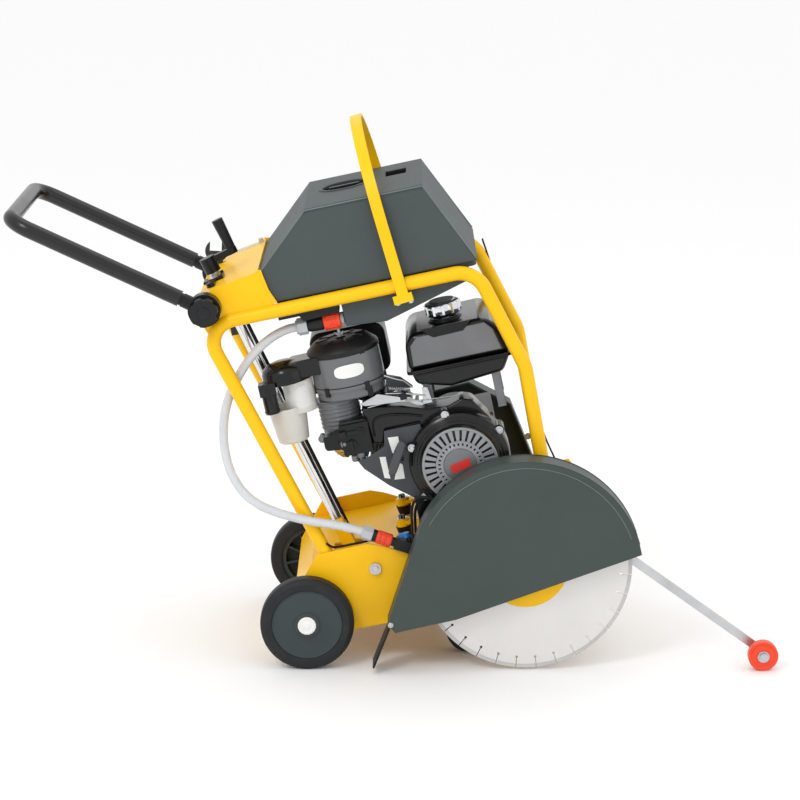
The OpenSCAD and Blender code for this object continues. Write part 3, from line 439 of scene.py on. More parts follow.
# --- finishes of the frame's own parts -------------------------------------------
FINISH = {
    YELLOW: ["base_frame", "frame_loop_right", "frame_loop_left", "console", "lifting_bail",
             "lift_yoke", "engine_bed"],
    GUARD_GREY: ["blade_guard", "belt_cover"],
    TANK_GREY: ["water_tank"],
    BLACK_GLOSS: ["fuel_tank", "recoil_cover"],
    BLACK_PAINT: ["handle_bar", "crank_arm", "depth_rod", "crank_lock", "swing_frame", "muffler",
                  "carburettor"],
    BLACK_PLASTIC: ["tank_cap", "water_valve", "crank_grip", "recoil_grip", "throttle_lever",
                    "choke_lever", "star_knob_right", "star_knob_left",
                    "stop_switch"],
    CAN_GREY: ["air_cleaner"],
    SLEEVE: ["handle_sleeve"],
    RUBBER: ["chassis_lines", "pointer_cord", "v_belts", "rubber_buffers", "mud_flap"],
    WHEEL_GREY: ["rear_wheel_right", "rear_wheel_left", "front_wheel_right", "front_wheel_left"],
    STEEL: ["arbor_shaft", "blade_flanges"],
    ZINC: ["frame_bolts", "depth_scale", "rear_axle", "front_axle", "pointer_arm"],
    CHROME: ["lift_tube", "fuel_cap"],
    CAST: ["crankshaft"],
    DARK_CAST: ["engine_block", "arbor_bearings", "spanner"],
    BLADE: ["blade_core"],
    SEGMENT: ["blade_segments"],
    ORANGE: ["tank_coupler", "valve_coupler", "pointer_wheel"],
    BLUE: ["valve_lever"],
    BOWL: ["dust_bowl"],
}
for finish, names in FINISH.items():
    for name in names:
        part = nodes[name]
        part.data.materials.clear()
        part.data.materials.append(finish)
        shade(part, 30)


# --- floor and light --------------------------------------------------------------
def stage():
    floor_mesh = bpy.data.meshes.new("floor")
    far_edge = 60.0
    floor_mesh.from_pydata(
        [(-far_edge, -far_edge, 0), (far_edge, -far_edge, 0), (far_edge, far_edge, 0),
         (-far_edge, far_edge, 0)], [], [(0, 1, 2, 3)])
    floor_finish = surface("pale_floor", "fbfbfb", 0.8, vary=0.005)
    floor_mesh.materials.append(floor_finish)
    floor = bpy.data.objects.new("floor", floor_mesh)
    scene.collection.objects.link(floor)
    world = bpy.data.worlds.new("studio")
    world.use_nodes = True
    world.node_tree.nodes["Background"].inputs["Color"].default_value = (1, 1, 1, 1)
    world.node_tree.nodes["Background"].inputs["Strength"].default_value = 1.0
    scene.world = world
    scene.view_settings.view_transform = "Standard"
    for name, place, size, power in (
        ("key", (-1.9, -3.2, 3.6), 1.2, 48),
        ("fill", (3.0, -2.6, 1.6), 2.4, 6),
        ("top", (0.2, 0.6, 3.8), 2.2, 12),
    ):
        data = bpy.data.lights.new(name, "AREA")
        data.size = size
        data.energy = power
        lamp = bpy.data.objects.new(name, data)
        lamp.location = place
        aim = Vector((0, 0, 0.5)) - Vector(place)
        lamp.rotation_euler = aim.to_track_quat("-Z", "Y").to_euler()
        scene.collection.objects.link(lamp)


stage()

# --- engine ------------------------------------------------------------------------
CRANK = (389, 267)
EAR_R = 107
EAR_ANGLES = (28, 96, 152, 214, 262, 330)
SPOKES = 30


def recoil_housing():
    """Ribbed black shell with a silver slotted disc and a blank badge."""
    x, z = CRANK
    place = near(x, z, 0)
    shell = Shape()
    shell.turn([(104, 124), (108, 124), (108, 194), (105, 201), (99, 205), (97, 205), (97, 207),
                (93, 208), (91, 208), (91, 211), (87, 213), (85, 213), (85, 217), (80, 224),
                (79, 226), (76, 226), (76, 218), (0, 218), (0, 214), (72, 214), (90, 200),
                (104, 194), (104, 124)], place, 96)
    ears = [(x + EAR_R * cos(radians(a)), z + EAR_R * sin(radians(a))) for a in EAR_ANGLES]
    for ear_x, ear_z in ears:
        shell.turn([(0, 150), (11, 150), (11, 198), (9, 201), (0, 201)], near(ear_x, ear_z, 0), 24)
    for low, high in (((-112, -134), (-18, -58)), ((18, -134), (106, -58))):
        shell.side([(x + low[0], z + low[1]), (x + high[0], z + low[1]), (x + high[0], z + high[1]),
                    (x + low[0], z + high[1])], -194, -124)
    shell.piece("recoil_shell", BLACK_GLOSS, "chassis", "black_paint", 1.2, ("recoil_cover",))
    grille = Shape()
    for k in range(SPOKES):
        outer = place @ turned(360 * k / SPOKES, "Z")
        inner = place @ turned(360 * (k + 0.5) / SPOKES, "Z")
        grille.prism([(52, -3.3), (77, -5.2), (77, 5.2), (52, 3.3)], 221, 228.4, outer)
        grille.prism([(38, -2.4), (47, -3.3), (47, 3.3), (38, 2.4)], 221, 228.4, inner)
    grille.ring(81, 75, 219, 228.8, place, 96, 0.8)
    grille.ring(52, 46.5, 221, 228.2, place, 96, 0.6)
    grille.ring(42, 35, 219, 229, place, 72, 0.8)
    grille.piece("recoil_grille", GRILLE, "chassis", "cast", 0.5)
    badge = Shape()
    badge.disc(35, 224, 230, place, 72, 1.2)
    badge.piece("recoil_badge", BADGE, "chassis", "cast", 0.4)
    plate = Shape()
    plate.prism(rounded(-22, -11, 22, 8, 4), 230, 230.8, place @ turned(12, "Z"))
    plate.piece("recoil_badge_plate", RED, "chassis", "red", 0.2)
    bolts = Shape()
    for ear_x, ear_z in ears:
        bolts.bolt(near(ear_x, ear_z, -201), 10, 6)
    bolts.piece("recoil_bolts", ZINC, "chassis", "zinc", 0.3)


def rounded(x0, y0, x1, y1, r, n=5):
    """A rectangle's outline with round corners."""
    return (arc(x1 - r, y0 + r, r, -90, 0, n) + arc(x1 - r, y1 - r, r, 0, 90, n)
            + arc(x0 + r, y1 - r, r, 90, 180, n) + arc(x0 + r, y0 + r, r, 180, 270, n))


FUEL_FILLER = at(418, -92, 0)


def fuel_tank():
    """Rounded upper and lower shells with a pressed seam between them."""
    upper = Shape()
    upper.side([(323, 474), (325, 531), (342, 552), (420, 555), (500, 556), (527, 533), (541, 474)],
               -177, 59)
    upper.piece("fuel_tank_upper", BLACK_GLOSS, "chassis", "black_paint", 13, ("fuel_tank",), 28, 5)
    lower = Shape()
    lower.side([(326, 471), (333, 443), (404, 424), (518, 434), (540, 471)], -175, 57)
    lower.piece("fuel_tank_lower", BLACK_GLOSS, "chassis", "black_paint", 10, (), 28, 4)
    seam = Shape()
    for z in (474, 470):
        seam.prism(rounded(317, -65, 549, 183, 18), 0, 3.4, at(0, 0, z) @ turned(180, "X"))
    seam.piece("fuel_tank_seam", BLACK_GLOSS, "chassis", "black_paint", 0.8)
    neck = Shape()
    neck.ring(33, 25, 552, 560, FUEL_FILLER, 64, 1.5)
    neck.ring(37, 30, 553, 557, FUEL_FILLER, 64, 1.2)
    neck.prism([(366, 558), (376, 546), (388, 537), (452, 539), (462, 548), (472, 558)], 170, 179.2,
               turned(90, "X"))
    neck.piece("fuel_tank_neck", BLACK_PAINT, "chassis", "black_paint", 0.5)
    side = Shape()
    side.prism([(334, 484), (336, 528), (352, 544), (498, 547), (513, 530), (524, 484)], 176.4,
               178.2, turned(90, "X"))
    side.piece("fuel_tank_side_panel", TANK_PANEL, "chassis", "black_paint", 0.9, (), 30, 3)
    cap = Shape()
    profile = [(0, 563), (30, 563), (36, 566), (39, 571), (39, 588), (37, 592), (31, 594),
               (29, 593.6), (27, 595.4), (12, 596.4), (0, 596.4)]
    cap.turn(profile, FUEL_FILLER, 64)
    for k in range(12):
        cap.box((37.2, -3.4, 569), (39.4, 3.4, 590), FUEL_FILLER @ turned(30 * k, "Z"))
    top = Shape()
    top.disc(27, 595.6, 597, FUEL_FILLER, 48, 0.6)
    top.piece("fuel_cap_top", FUEL_CAP, "fuel_cap_body", "chrome", 0)
    cap.piece("fuel_cap_dressed", CHROME, "fuel_cap_body", "chrome", 0.6, ("fuel_cap",))


def wrapped(r, angle, half_w, half_h, place, rings=4, spokes=40):
    """A blank oval label lying on a can of radius r."""
    shape = Shape()
    verts, faces = [], []
    for i in range(rings + 1):
        for k in range(spokes):
            turn = 2 * pi * k / spokes
            u = half_w * i / rings * abs(cos(turn)) ** 0.7 * (1 if cos(turn) >= 0 else -1)
            v = half_h * i / rings * abs(sin(turn)) ** 0.7 * (1 if sin(turn) >= 0 else -1)
            a = radians(angle) + u / r
            verts.append((r * cos(a), r * sin(a), v))
    for i in range(rings):
        for k in range(spokes):
            a, b = i * spokes + k, i * spokes + (k + 1) % spokes
            faces.append([a, b, b + spokes, a + spokes])
    return shape.add(verts, faces, place)


def air_cleaner():
    """Canister with its domed lid, pre-cleaner, inlet snout and ribbed elbow."""
    middle = at(192, -112, 0)
    bowl_middle = (83, -132)
    can = Shape()
    can.turn([(0, 442), (70, 442), (74, 445), (74.5, 459), (75.5, 460.5), (76.8, 463), (77, 466),
              (76.4, 530), (75.8, 537), (75, 538), (0, 538)], middle, 96)
    can.piece("air_cleaner_can", CAN_GREY, "chassis", "black_plastic", 0.5, ("air_cleaner",))
    lid = Shape()
    lid.turn([(0, 536), (77, 536), (77.6, 538), (77.6, 546), (76, 549), (60, 563), (56, 565),
              (30, 566.5), (28, 565), (12, 565), (10, 567), (0, 567)], middle, 96)
    for k in range(8):
        lid.box((30, -1.6, 560), (55, 1.6, 567.4), middle @ turned(45 * k + 15, "Z"))
    lid.piece("air_cleaner_lid", BLACK_PLASTIC, "chassis", "black_plastic", 0.6)
    wing = Shape()
    wing.disc(6, 566, 569, middle, 24, 0.6)
    wing.disc(3, 566, 584, middle, 20, 0.8)
    for side in (-1, 1):
        wing.prism([(side * 2, 569), (side * 8, 571), (side * 10, 577), (side * 6, 577),
                    (side * 3, 573)], -1.2, 1.2, middle @ turned(90, "X"))
    wing.piece("air_cleaner_wing_nut", ZINC, "chassis", "zinc", 0.6)
    label = wrapped(77.8, -84, 33, 14, middle @ at(0, 0, 505))
    label.piece("air_cleaner_blank_label", LABEL, "chassis", "bowl", 0)
    seam = Shape()
    seam.box((-6, -76, 440), (6, -72.5, 536), middle @ turned(34, "Z"))
    seam.ring(77.8, 74, 470, 472.5, middle, 96, 0.6)
    for angle in (-128, -60, 0, 90, 180):
        seam.box((74, -5, 455), (80, 5, 474), middle @ turned(angle, "Z"))
    seam.piece("air_cleaner_clamp", BLACK_PLASTIC, "chassis", "black_plastic", 0.6)
    elbow = Shape()
    rings = [(0, 345), (40, 345), (43, 349), (43, 375)]
    for k in range(6):
        z = 378 + 9 * k
        rings += [(43, z), (45, z + 2), (45, z + 5), (43, z + 7)]
    rings += [(44, 436), (50, 442), (0, 442)]
    elbow.turn(rings, at(158, -118, 0), 72)
    elbow.piece("air_cleaner_elbow", CAN_GREY, "chassis", "black_plastic", 0.4)
    pre = Shape()
    pre.turn([(0, 500), (50, 500), (51, 503), (51, 507), (49.5, 509), (49.5, 522), (46, 532),
              (36, 540), (20, 545), (0, 546)], at(62, -134, 0), 72)
    pre.side(arc(86, 520, 24, 100, 180, 6) + [(62, 506), (142, 506), (142, 544)], -168, -98)
    pre.piece("precleaner_head", BLACK_GLOSS, "chassis", "black_plastic", 2.5, (), 40, 3)
    snout = Shape()
    snout.turn([(12, 445), (15.4, 445), (16, 448), (16, 500), (12, 508), (0, 508), (0, 504),
                (12, 500), (12, 445)], at(22, -170, 0), 40)
    snout.ring(17, 15, 448, 453, at(22, -170, 0), 40, 0.8)
    snout.box((4, -186, 486), (40, -150, 512))
    snout.piece("precleaner_snout", BLACK_GLOSS, "chassis", "black_plastic", 1.6, (), 35, 3)
    bowl = Shape()
    bowl.turn([(0, 368), (29, 368), (33, 371), (41, 440), (42, 443), (40, 446), (38, 442),
               (31, 374), (0, 372)], at(50, -130, 0), 72)
    bowl.turn([(0, 430), (32, 430), (33, 432), (33, 500), (0, 500)], at(*bowl_middle, 0), 64)
    bowl.piece("precleaner_bowl", BOWL, "chassis", "bowl", 0.5, ("dust_bowl",))
    plate = wrapped(33.3, -78, 17, 25, at(*bowl_middle, 466))
    plate.piece("precleaner_blank_label", SPECKLED, "chassis", "bowl", 0)


def carburettor():
    """Control box on the elbow, brass sediment bowl, drain and the linkage above."""
    box = Shape()
    box.side([(114, 349), (118, 343), (147, 340), (214, 340), (214, 392), (206, 398), (154, 398),
              (150, 380), (114, 372)], -186, -158)
    box.piece("control_box", BLACK_PAINT, "chassis", "black_paint", 3, (), 30, 3)
    frame_plate = Shape()
    frame_plate.prism(rounded(168, 352, 206, 386, 5), 186, 189, turned(90, "X"))
    frame_plate.prism(rounded(176, 359, 198, 379, 4), 189, 190.4, turned(90, "X"))
    frame_plate.piece("control_box_plate", CAN_GREY, "chassis", "black_plastic", 0.8)
    knob = Shape()
    knob.disc(14, 184, 190, near(157, 352, 0), 32, 1.2)
    knob.piece("control_knob", BLACK_PLASTIC, "chassis", "black_plastic", 0.6)
    screws = Shape()
    screws.bolt(near(157, 352, -189.4), 10, 2.4)
    screws.bolt(near(112, 370, -176), 10, 6)
    screws.disc(6, -30, 2, near(112, 370, -176), 24, 0.5)
    screws.disc(10, -24, 0, at(187, -168, 336), 32, 1.0)
    screws.disc(7, -10, 0, at(187, -168, 314), 24, 1.0)
    screws.disc(9, -14, 0, at(172, -160, 318), 24, 1.5)
    screws.piece("carburettor_fittings", CAST, "chassis", "cast", 0.4)
    sump = Shape()
    sump.turn([(0, 316), (7, 316), (8, 321), (16, 325), (17, 329), (20, 331), (20, 341), (0, 341)],
              at(150, -150, 0), 40)
    sump.piece("sediment_bowl", BRASS, "chassis", "cast", 0.6)
    linkage = Shape()
    linkage.side([(204, 425), (247, 439), (306, 418), (300, 412), (216, 419)], -168, -166)
    linkage.side([(336, 396), (357, 396), (352, 432), (342, 432)], -160, -157)
    linkage.side([(291, 420), (323, 396), (336, 393), (336, 399), (300, 424)], -158, -156)
    linkage.tube([(268, -160, 474), (292, -164, 462), (306, -164, 456), (322, -160, 436)], 1.6, 8)
    linkage.tube([(262, -158, 434), (300, -160, 428), (345, -160, 414)], 2.0, 8)
    linkage.tube(smooth_route([(206, -164, 412), (260, -166, 416), (310, -166, 410),
                               (350, -160, 404), (410, -150, 398)], 4), 1.4, 8)
    linkage.disc(5, 0, 4, near(347, 428, -160), 24, 0.5)
    linkage.piece("control_linkage", ZINC, "chassis", "zinc", 0.3)
    spring = Shape()
    coil = []
    turns = 11
    for k in range(turns * 12 + 1):
        a = 2 * pi * k / 12
        coil.append((272 + 44 * k / (turns * 12), -166 + 4 * cos(a),
                     446 - 10 * k / (turns * 12) + 4 * sin(a)))
    spring.tube(coil, 0.7, 6)
    spring.piece("governor_spring", ZINC, "chassis", "zinc", 0)
    case = Shape()
    case.side([(266, 434), (270, 470), (300, 458), (322, 434)], -150, -128)
    case.piece("throttle_bracket", DARK_CAST, "chassis", "black_paint", 1.2)


def shroud():
    """Black fan shroud from the recoil housing to the cylinder, and the plate under it."""
    duct = Shape()
    duct.side([(206, 416), (292, 404), (343, 386), (389, 384), (418, 394), (440, 386), (470, 340),
               (470, 262), (330, 300), (318, 356), (246, 355), (238, 330), (214, 336), (210, 380)],
              -172, -100)
    duct.piece("fan_shroud", BLACK_GLOSS, "chassis", "black_paint", 5, (), 28, 4)
    lip = Shape()
    lip.tube(smooth_route([(222, -174, 352), (226, -175, 384), (250, -175, 392), (292, -175, 386),
                           (330, -175, 374)], 5), 2.2, 8)
    lip.tube(smooth_route([(248, -178, 360), (290, -178, 362), (320, -178, 362), (318, -178, 352),
                           (296, -178, 320)], 5), 1.6, 8)
    lip.piece("shroud_beads", BLACK_PAINT, "chassis", "black_paint", 0)
    plate = Shape()
    plate.side([(244, 362), (322, 362), (330, 300), (330, 210), (277, 206), (231, 243), (186, 290),
                (176, 310), (196, 312), (238, 330)], -188, -184)
    plate.piece("side_plate", DARK_PLATE, "chassis", "black_paint", 1.2)
    labels = Shape()
    labels.side([(249, 347), (271, 345), (270, 322), (258, 308), (252, 312)], -189, -188)
    labels.side([(223, 309), (236, 307), (236, 258), (224, 262)], -189, -188)
    labels.side([(258, 290), (268, 283), (266, 252), (244, 254)], -189, -188)
    labels.piece("side_plate_blank_labels", LABEL, "chassis", "bowl", 0.2)


def grip():
    """Moulded starter grip: a fat curved bar with finger swell and a rope boss."""
    bar_shape = Shape()
    place = at(262, -217, 307) @ turned(30, "Y")
    outline = [(-8, -39), (2, -39), (7, -34), (8, -14), (7.5, 0), (8, 14), (7, 34), (2, 39),
               (-5, 39), (-9, 30), (-11, 12), (-11, -12), (-9, -30)]
    bar_shape.prism(outline, -10.5, 10.5, place @ turned(90, "X"))
    bar_shape.piece("starter_grip_dressed", GRIP_GREY, "starter_grip", "black_plastic", 5,
                    ("recoil_grip",), 25, 4)
    boss = Shape()
    boss.turn([(6, 6), (6.5, 8), (5, 12), (3.5, 13.5), (0, 13.5)], place @ turned(90, "Y"), 24)
    boss.piece("starter_grip_boss", BLACK_PLASTIC, "starter_grip", "black_plastic", 0.5)


# --- water fittings ------------------------------------------------------------------
COUPLER_RIBS = 14


def coupler(name, place):
    """Hose nut, black body and red-orange sliding collar."""
    nut = Shape()
    nut.hexagon(33, 0, 20, place)
    nut.ring(15, 9.6, -4, 1, place, 40, 0.8)
    nut.piece(name + "_nut", COUPLER_GREY, "chassis", "clear_hose", 1.0, (), 30, 3)
    body = Shape()
    body.turn([(0, 20), (13, 20), (15, 24), (15.5, 36), (16, 38), (16, 54),
               (14, 56), (0, 56)], place, 48)
    body.piece(name + "_body", BLACK_PLASTIC, "chassis", "black_plastic", 0.5)
    collar = Shape()
    rings = [(0, 55), (17, 55), (19.4, 57)]
    for i in range(4):
        z = 60 + 7 * i
        rings += [(19.4, z), (18.6, z + 1), (18.6, z + 3), (19.6, z + 4)]
    rings += [(19.8, 90), (17, 92), (0, 92)]
    collar.turn(rings, place, 56)
    for i in range(COUPLER_RIBS):
        collar.box((18.4, -1.1, 62), (20, 1.1, 84), place @ turned(360 * i / COUPLER_RIBS, "Z"))
    collar.piece(name + "_collar", ORANGE, "chassis", "orange", 0.5)


def couplers():
    """The quick couplers at the tank's outlet and at the water valve."""
    upper = facing(112, -150, 612, (1, 0, 0))
    coupler("tank_coupler", upper)
    rest = Shape()
    rest.turn([(0, 91), (13, 91), (13.5, 94), (13.5, 99), (9, 101), (7.9, 101), (7.9, 108),
               (0, 108)], upper, 40)
    rest.piece("tank_coupler_spigot", COUPLER_GREY, "chassis", "clear_hose", 0.5, ("tank_coupler",))
    ring = Shape()
    ring.ring(8.5, 5.6, 15.4, 16.9, upper @ at(0, 0, 46) @ turned(90, "X"), 32, 0.4)
    ring.piece("tank_coupler_mark", ORANGE, "chassis", "orange", 0.3)
    lower = facing(156, -216, 163, (cos(radians(-30.5)), 0, sin(radians(-30.5))))
    nut = Shape()
    nut.hexagon(28, 0, 21, lower)
    nut.ring(12.8, 9.6, -3, 1, lower, 40, 0.8)
    nut.piece("valve_coupler_nut", COUPLER_GREY, "chassis", "clear_hose", 1.0, ("valve_coupler",),
              30, 3)
    neck = Shape()
    neck.turn([(0, 20), (12.5, 20), (13.5, 22), (13.5, 28), (12.5, 31), (0, 31)], lower, 40)
    neck.turn([(0, 63), (10, 63), (10, 73), (0, 73)], lower, 40)
    neck.piece("valve_coupler_neck", BLACK_PLASTIC, "chassis", "black_plastic", 0.5)
    collar = Shape()
    collar.turn([(0, 30), (13, 30), (14.4, 32), (14.4, 38), (13.6, 39), (13.6, 42), (14.4, 43),
                 (14.4, 49), (13.6, 50), (13.6, 53), (14.5, 54), (14.5, 62), (13, 64), (0, 64)],
                lower, 48)
    for k in range(COUPLER_RIBS):
        collar.box((13.4, -1.0, 34), (14.8, 1.0, 60), lower @ turned(360 * k / COUPLER_RIBS, "Z"))
    collar.piece("valve_coupler_collar", ORANGE, "chassis", "orange", 0.4)


def tank_details():
    """Filler rim, cap, pocket, edge beads painted lighter as a highlight, and the outlet's strip
    and elbow.
    """
    rim = Shape()
    centre = at(262, 30, 0)
    rim.ring(56, 47, 858, 862.5, centre, 72, 1.5)
    rim.piece("filler_rim", TANK_GREY, "chassis", "grey_plastic", 0.6)
    cap = Shape()
    cap.turn([(0, 842), (40, 842), (42, 845), (42, 853), (39, 856), (0, 856)], centre, 64)
    cap.prism(rounded(-34, -6, 34, 6, 5), 856, 862, centre)
    for k in range(20):
        cap.box((41, -2.2, 844), (43, 2.2, 854), centre @ turned(18 * k, "Z"))
    cap.piece("tank_cap_dressed", BLACK_PLASTIC, "tank_cap_body", "black_plastic", 1.0,
              ("tank_cap",))
    strip = Shape()
    strip.side([(78, 640), (206, 640), (206, 651), (78, 651)], -180, -120)
    strip.side([(128, 626), (206, 630), (206, 642), (120, 642)], -172, -120)
    strip.piece("outlet_strip", BLACK_PLASTIC, "chassis", "black_plastic", 0.8)
    pocket = Shape()
    pocket.box((350, 28, 838), (400, 102, 841))
    pocket.box((350, 28, 838), (352.5, 102, 859))
    pocket.box((397.5, 28, 838), (400, 102, 859))
    pocket.box((350, 99.5, 838), (400, 102, 859))
    pocket.box((350, 28, 838), (400, 30.5, 859))
    pocket.piece("tank_pocket", BLACK_PLASTIC, "chassis", "grey_plastic", 0.6)
    # painted highlight: lighter grey beads along the tank's top edges stand in for light on its
    # rounded edges
    edges = Shape()
    near_side = [(60, 748), (181, 858.4), (431, 858.4), (511, 686)]
    for y in (-189.6, 189.6):
        edges.tube([(x, y, z) for x, z in near_side], 1.5, 8)
    edges.piece("tank_rim_highlight_beads", EDGE_HIGHLIGHT_GREY, "chassis", "grey_plastic", 0)
    elbow = Shape()
    elbow.tube(smooth_route([(212, -150, 612), (222, -150, 612), (236, -150, 618)], 5), 11, 20)
    elbow.piece("outlet_elbow", BLACK_PLASTIC, "chassis", "black_plastic", 0.6)


# --- running gear -----------------------------------------------------------------------
RIM_RIBS = 10


def rear_wheel(side, body, replaced):
    """Solid rubber tyre on a moulded rim with ribs, and a pale hub cap."""
    place = near(0, 0, 0) if side < 0 else far(0, 0, 0)
    tyre = Shape()
    tyre.turn([(74, 224), (92, 224), (97, 226), (99.4, 230), (100, 236), (100, 254), (99.4, 260),
               (98, 262), (97, 263), (91, 265.8), (90, 267), (80, 267.3), (76, 266.2), (74.5, 264),
               (74.5, 224)], place, 128)
    tyre.piece(body + "_tyre", TYRE, body, "tyre", 0.4, replaced)
    rim = Shape()
    rim.turn([(64, 230), (75, 230), (75, 264), (73, 265), (71, 263), (66, 262.5), (30, 262.5),
              (27, 264), (27, 267), (20, 268), (10.1, 268), (10.1, 224), (24, 224), (24, 254),
              (64, 254), (64, 230)], place, 96)
    for k in range(RIM_RIBS):
        rim.box((22, -2.2, 231), (66, 2.2, 255), place @ turned(360 * k / RIM_RIBS, "Z"))
    rim.piece(body + "_rim", WHEEL_GREY, body, "tyre", 0.6)
    cap = Shape()
    cap.turn([(0, 268), (18.4, 268), (19.2, 269), (19.2, 271), (15, 272.4), (14, 271.4), (9, 271.4),
              (8, 272.8), (3, 273.6), (0, 274)], place, 48)
    for k in range(16):
        cap.box((16.2, -0.9, 269), (19.5, 0.9, 272.4), place @ turned(22.5 * k, "Z"))
    cap.piece(body + "_cap", LABEL, body, "clear_hose", 0.3)


def front_wheels():
    for side, body, node in ((-1, "wheel_front_right", "front_wheel_right"),
                             (1, "wheel_front_left", "front_wheel_left")):
        spot = CHASSIS.inverted() @ Vector(joints[node + "_spin"]["pos_m"])
        place = near(spot.x, spot.z, 0) if side < 0 else far(spot.x, spot.z, 0)
        tread = Shape()
        tread.turn([(38, 110.5), (46, 110.5), (49, 113), (50, 118), (50, 142), (49, 147),
                    (46, 149.5), (38, 149.5), (38, 110.5)], place, 96)
        tread.piece(body + "_tyre", TYRE, body, "tyre", 0.4, (node,))
        hub = Shape()
        hub.turn([(8.2, 111), (18, 111), (20, 114), (38.5, 116), (38.5, 144), (20, 146), (18, 149),
                  (8.2, 149), (8.2, 111)], place, 64)
        hub.piece(body + "_hub", WHEEL_GREY, body, "tyre", 0.6)
        nut = Shape()
        nut.hexagon(17, 151, 157.8, place)
        nut.piece(body + "_nut", ZINC, "front_carriage", "zinc", 0.5)


GUARD_MIDDLE = (479, 22)


def guard_arc(r, y, angles):
    """Points along a circle about the guard's middle, on one of its sides."""
    x, z = GUARD_MIDDLE
    return [(x + r * cos(radians(a)), y, z + r * sin(radians(a))) for a in angles]


def guard_details():
    """Rim beads, fold line painted lighter as a highlight, and flap bolt of the blade guard, and
    the blade's painted centre.
    """
    bead = Shape()
    for y in (-299.4, -235.6):
        bead.tube(guard_arc(245.4, y, range(4, 146, 3)), 1.1, 8)
    bead.piece("guard_bead", GUARD_GREY, "guard", "grey_paint", 0)
    # painted highlight: a lighter grey line along the guard's fold stands in for light on the
    # rounded crease
    fold = Shape()
    fold.tube(guard_arc(232, -300.2, range(8, 142, 3)), 0.9, 8)
    fold.piece("guard_crease_highlight", FOLD_HIGHLIGHT_GREY, "guard", "grey_paint", 0)
    bolts = Shape()
    bolts.bolt(near(176, -26, -300), 7, 3)
    bolts.piece("guard_flap_bolts", ZINC, "guard", "zinc", 0.3)
    disc = Shape()
    disc.ring(90, 40, 264.0, 264.3, near(480, 31, 0), 96)
    disc.piece("blade_centre_disc", YELLOW, "blade_drive", "steel", 0)


def tank_lip():
    """The tray under the tank, seen as a dark line above the rails."""
    lip = Shape()
    lip.prism(rounded(82, -180, 508, 180, 12), 670, 684)
    lip.piece("tank_tray", TANK_GREY, "chassis", "grey_plastic", 1.5)


ROLLER = (935, -268.1)


def pointer_details():
    """Pivot bolt of the pointer arm, and its roller with the roller's bolt."""
    bolt = Shape()
    bolt.bolt(near(600, 102, -229.5), 14, 4)
    bolt.piece("pointer_pivot_bolt", ZINC, "chassis", "zinc", 0.4)
    wheel = Shape()
    place = near(*ROLLER, 0)
    wheel.turn([(5.2, 250), (14, 250), (15, 252), (24, 253), (27, 251), (30, 250), (32, 252.5),
                (32, 271.5), (30, 274), (27, 273), (24, 271), (15, 272), (14, 274), (5.2, 274),
                (5.2, 250)], place, 72)
    wheel.piece("pointer_roller_dressed", ORANGE, "pointer_roller", "orange", 0.5,
                ("pointer_wheel",))
    nut = Shape()
    nut.bolt(near(*ROLLER, -274.8), 15, 8)
    nut.piece("pointer_roller_bolt", ZINC, "pointer", "zinc", 0.4)


REAR_FOOT_X = -38 + 410 * 0.2775
FRONT_FOOT_X = 556


def chassis_details():
    """Welded seams, bolts and small fixings on the yellow frame."""
    bolts = Shape()
    for s in (-1, 1):
        for x in (331, 358):
            bolts.bolt(at(x, s * 195, 629) @ turned(180, "X"), 10, 6)
    for x in (236, 530):
        for s in (-1, 1):
            bolts.bolt(at(x, s * 84, 138 if x < 300 else 134), 13, 7)
    bolts.bolt(near(165, 79, -223), 15, 6)
    bolts.bolt(far(165, 79, 223), 15, 6)
    bolts.bolt(near(262, 70, -258), 17, 8)
    bolts.piece("frame_bolt_heads", ZINC, "chassis", "zinc", 0.4)
    beads = Shape()
    steps = 24
    for y in (-197, 197):
        for foot_x, half_length in ((REAR_FOOT_X, 16.2), (FRONT_FOOT_X, 15.6)):
            turns = [2 * pi * k / steps for k in range(steps + 1)]
            beads.tube([(foot_x + half_length * cos(a), y + 15.4 * sin(a), 101.5) for a in turns],
                       2.2, 6)
    beads.piece("weld_beads", YELLOW, "chassis", "yellow_paint", 0)


KNOB = (-65, 702)
KNOB_FACE = 258


def knob_caps():
    """The pressed-in discs of the two clamping knobs."""
    for side, body in ((-1, "knob_right"), (1, "knob_left")):
        place = near(*KNOB, -KNOB_FACE) if side < 0 else far(*KNOB, KNOB_FACE)
        cap = Shape()
        cap.turn([(0, -3), (13, -3), (14, -1), (13, 1.5), (6, 2.5), (0, 2.5)], place, 40)
        cap.piece(body + "_cap", BLACK_PLASTIC, body, "black_plastic", 0.3)


def muffler():
    """Perforated heat guard round the silencer, on the left side."""
    can = Shape()
    can.prism(rounded(110, 432, 278, 546, 26), -174, -66, turned(90, "X"))
    can.piece("silencer_can", BLACK_PAINT, "chassis", "black_paint", 5, ("muffler",), 30, 3)
    guard = Shape()
    guard.prism(rounded(118, 440, 270, 538, 20), -179, -175, turned(90, "X"))
    for row in range(5):
        for col in range(6):
            guard.prism(rounded(130 + 23 * col, 450 + 17 * row, 146 + 23 * col, 456 + 17 * row,
                                2.8), -181, -178.6, turned(90, "X"))
    guard.piece("silencer_guard", DARK_CAST, "chassis", "black_paint", 0.6)
    pipe = Shape()
    pipe.ring(14, 11, 0, 24, facing(110, 118, 470, (-1, 0, 0)), 32, 0.6)
    pipe.piece("silencer_outlet", STEEL, "chassis", "steel", 0.3)


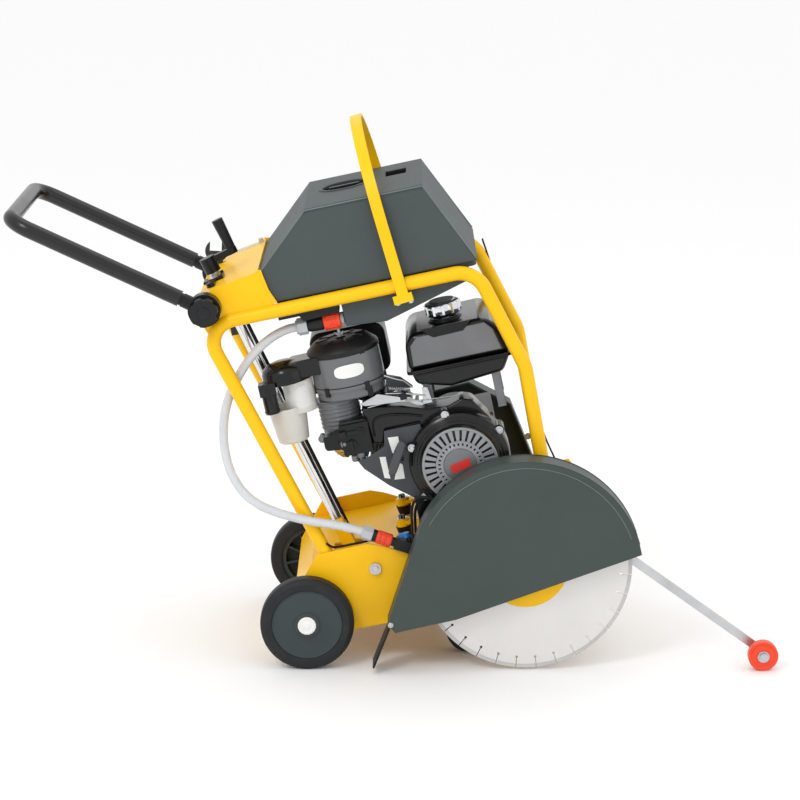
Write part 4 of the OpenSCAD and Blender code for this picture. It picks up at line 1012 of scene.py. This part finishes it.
def supports():
    """Brackets that carry the fuel tank and the silencer, and the edge of the console."""
    stays = Shape()
    for x, foot in ((352, 376), (500, 350)):
        for y in (-120, 30):
            stays.side([(x - 9, foot), (x + 9, foot), (x + 9, 430), (x + 16, 438), (x - 16, 438),
                        (x - 9, 430)], y - 14, y - 11)
            stays.side([(x - 9, foot), (x + 9, foot), (x + 9, foot + 3), (x - 9, foot + 3)],
                       y - 14, y + 10)
    stays.piece("fuel_tank_brackets", CAST, "chassis", "cast", 0.8)
    pipe = Shape()
    pipe.tube(smooth_route([(262, 66, 352), (250, 84, 372), (240, 96, 404), (236, 100, 436)], 6),
              15, 24)
    pipe.ring(24, 12, 0, 5, facing(262, 66, 352, (0.4, -0.6, -0.7)), 32, 0.8)
    pipe.piece("exhaust_pipe", DARK_CAST, "chassis", "cast", 0.4)
    hanger = Shape()
    hanger.side([(206, 380), (226, 380), (232, 432), (200, 432)], 64, 68)
    hanger.side([(150, 400), (262, 352), (268, 362), (170, 432), (150, 432)], 60, 64)
    hanger.piece("silencer_bracket", BLACK_PAINT, "chassis", "black_paint", 0.8)
    lip = Shape()
    for y0, y1 in ((-199.6, -192), (192, 199.6)):
        lip.side([(54, 758), (66, 756), (73, 712), (85, 682), (66, 680), (56, 720)], y0, y1)
    lip.piece("console_lip", YELLOW, "chassis", "yellow_paint", 0.6)


def far_side():
    """Cylinder fins, rocker cover and the belt cover's bolts."""
    fins = Shape()
    place = at(300, 0, 262) @ turned(-65, "Y")
    for k in range(9):
        z = 62 + 9 * k
        fins.prism(rounded(-38, -66, 62, 72, 10), z, z + 2.4, place)
    fins.piece("cylinder_fins", CAST, "chassis", "cast", 0.4)
    rocker = Shape()
    rocker.prism(rounded(-44, -52, 44, 52, 12), 146, 168, place)
    rocker.piece("rocker_cover", BLACK_GLOSS, "chassis", "black_paint", 4, (), 30, 3)
    screws = Shape()
    for x, z in ((345, 318), (424, 322), (500, 270), (538, 66), (520, -12), (440, -20), (418, 30),
                 (368, 150),
                 (538, 170)):
        screws.bolt(far(x, z, 271), 9, 4)
    screws.piece("belt_cover_bolts", ZINC, "chassis", "zinc", 0.3)


for make in (supports, far_side, recoil_housing, fuel_tank, air_cleaner, carburettor, shroud, grip,
             couplers, tank_details, front_wheels, guard_details, pointer_details, chassis_details,
             knob_caps, muffler, tank_lip):
    make()
rear_wheel(-1, "wheel_rear_right", ("rear_wheel_right",))
rear_wheel(1, "wheel_rear_left", ("rear_wheel_left",))
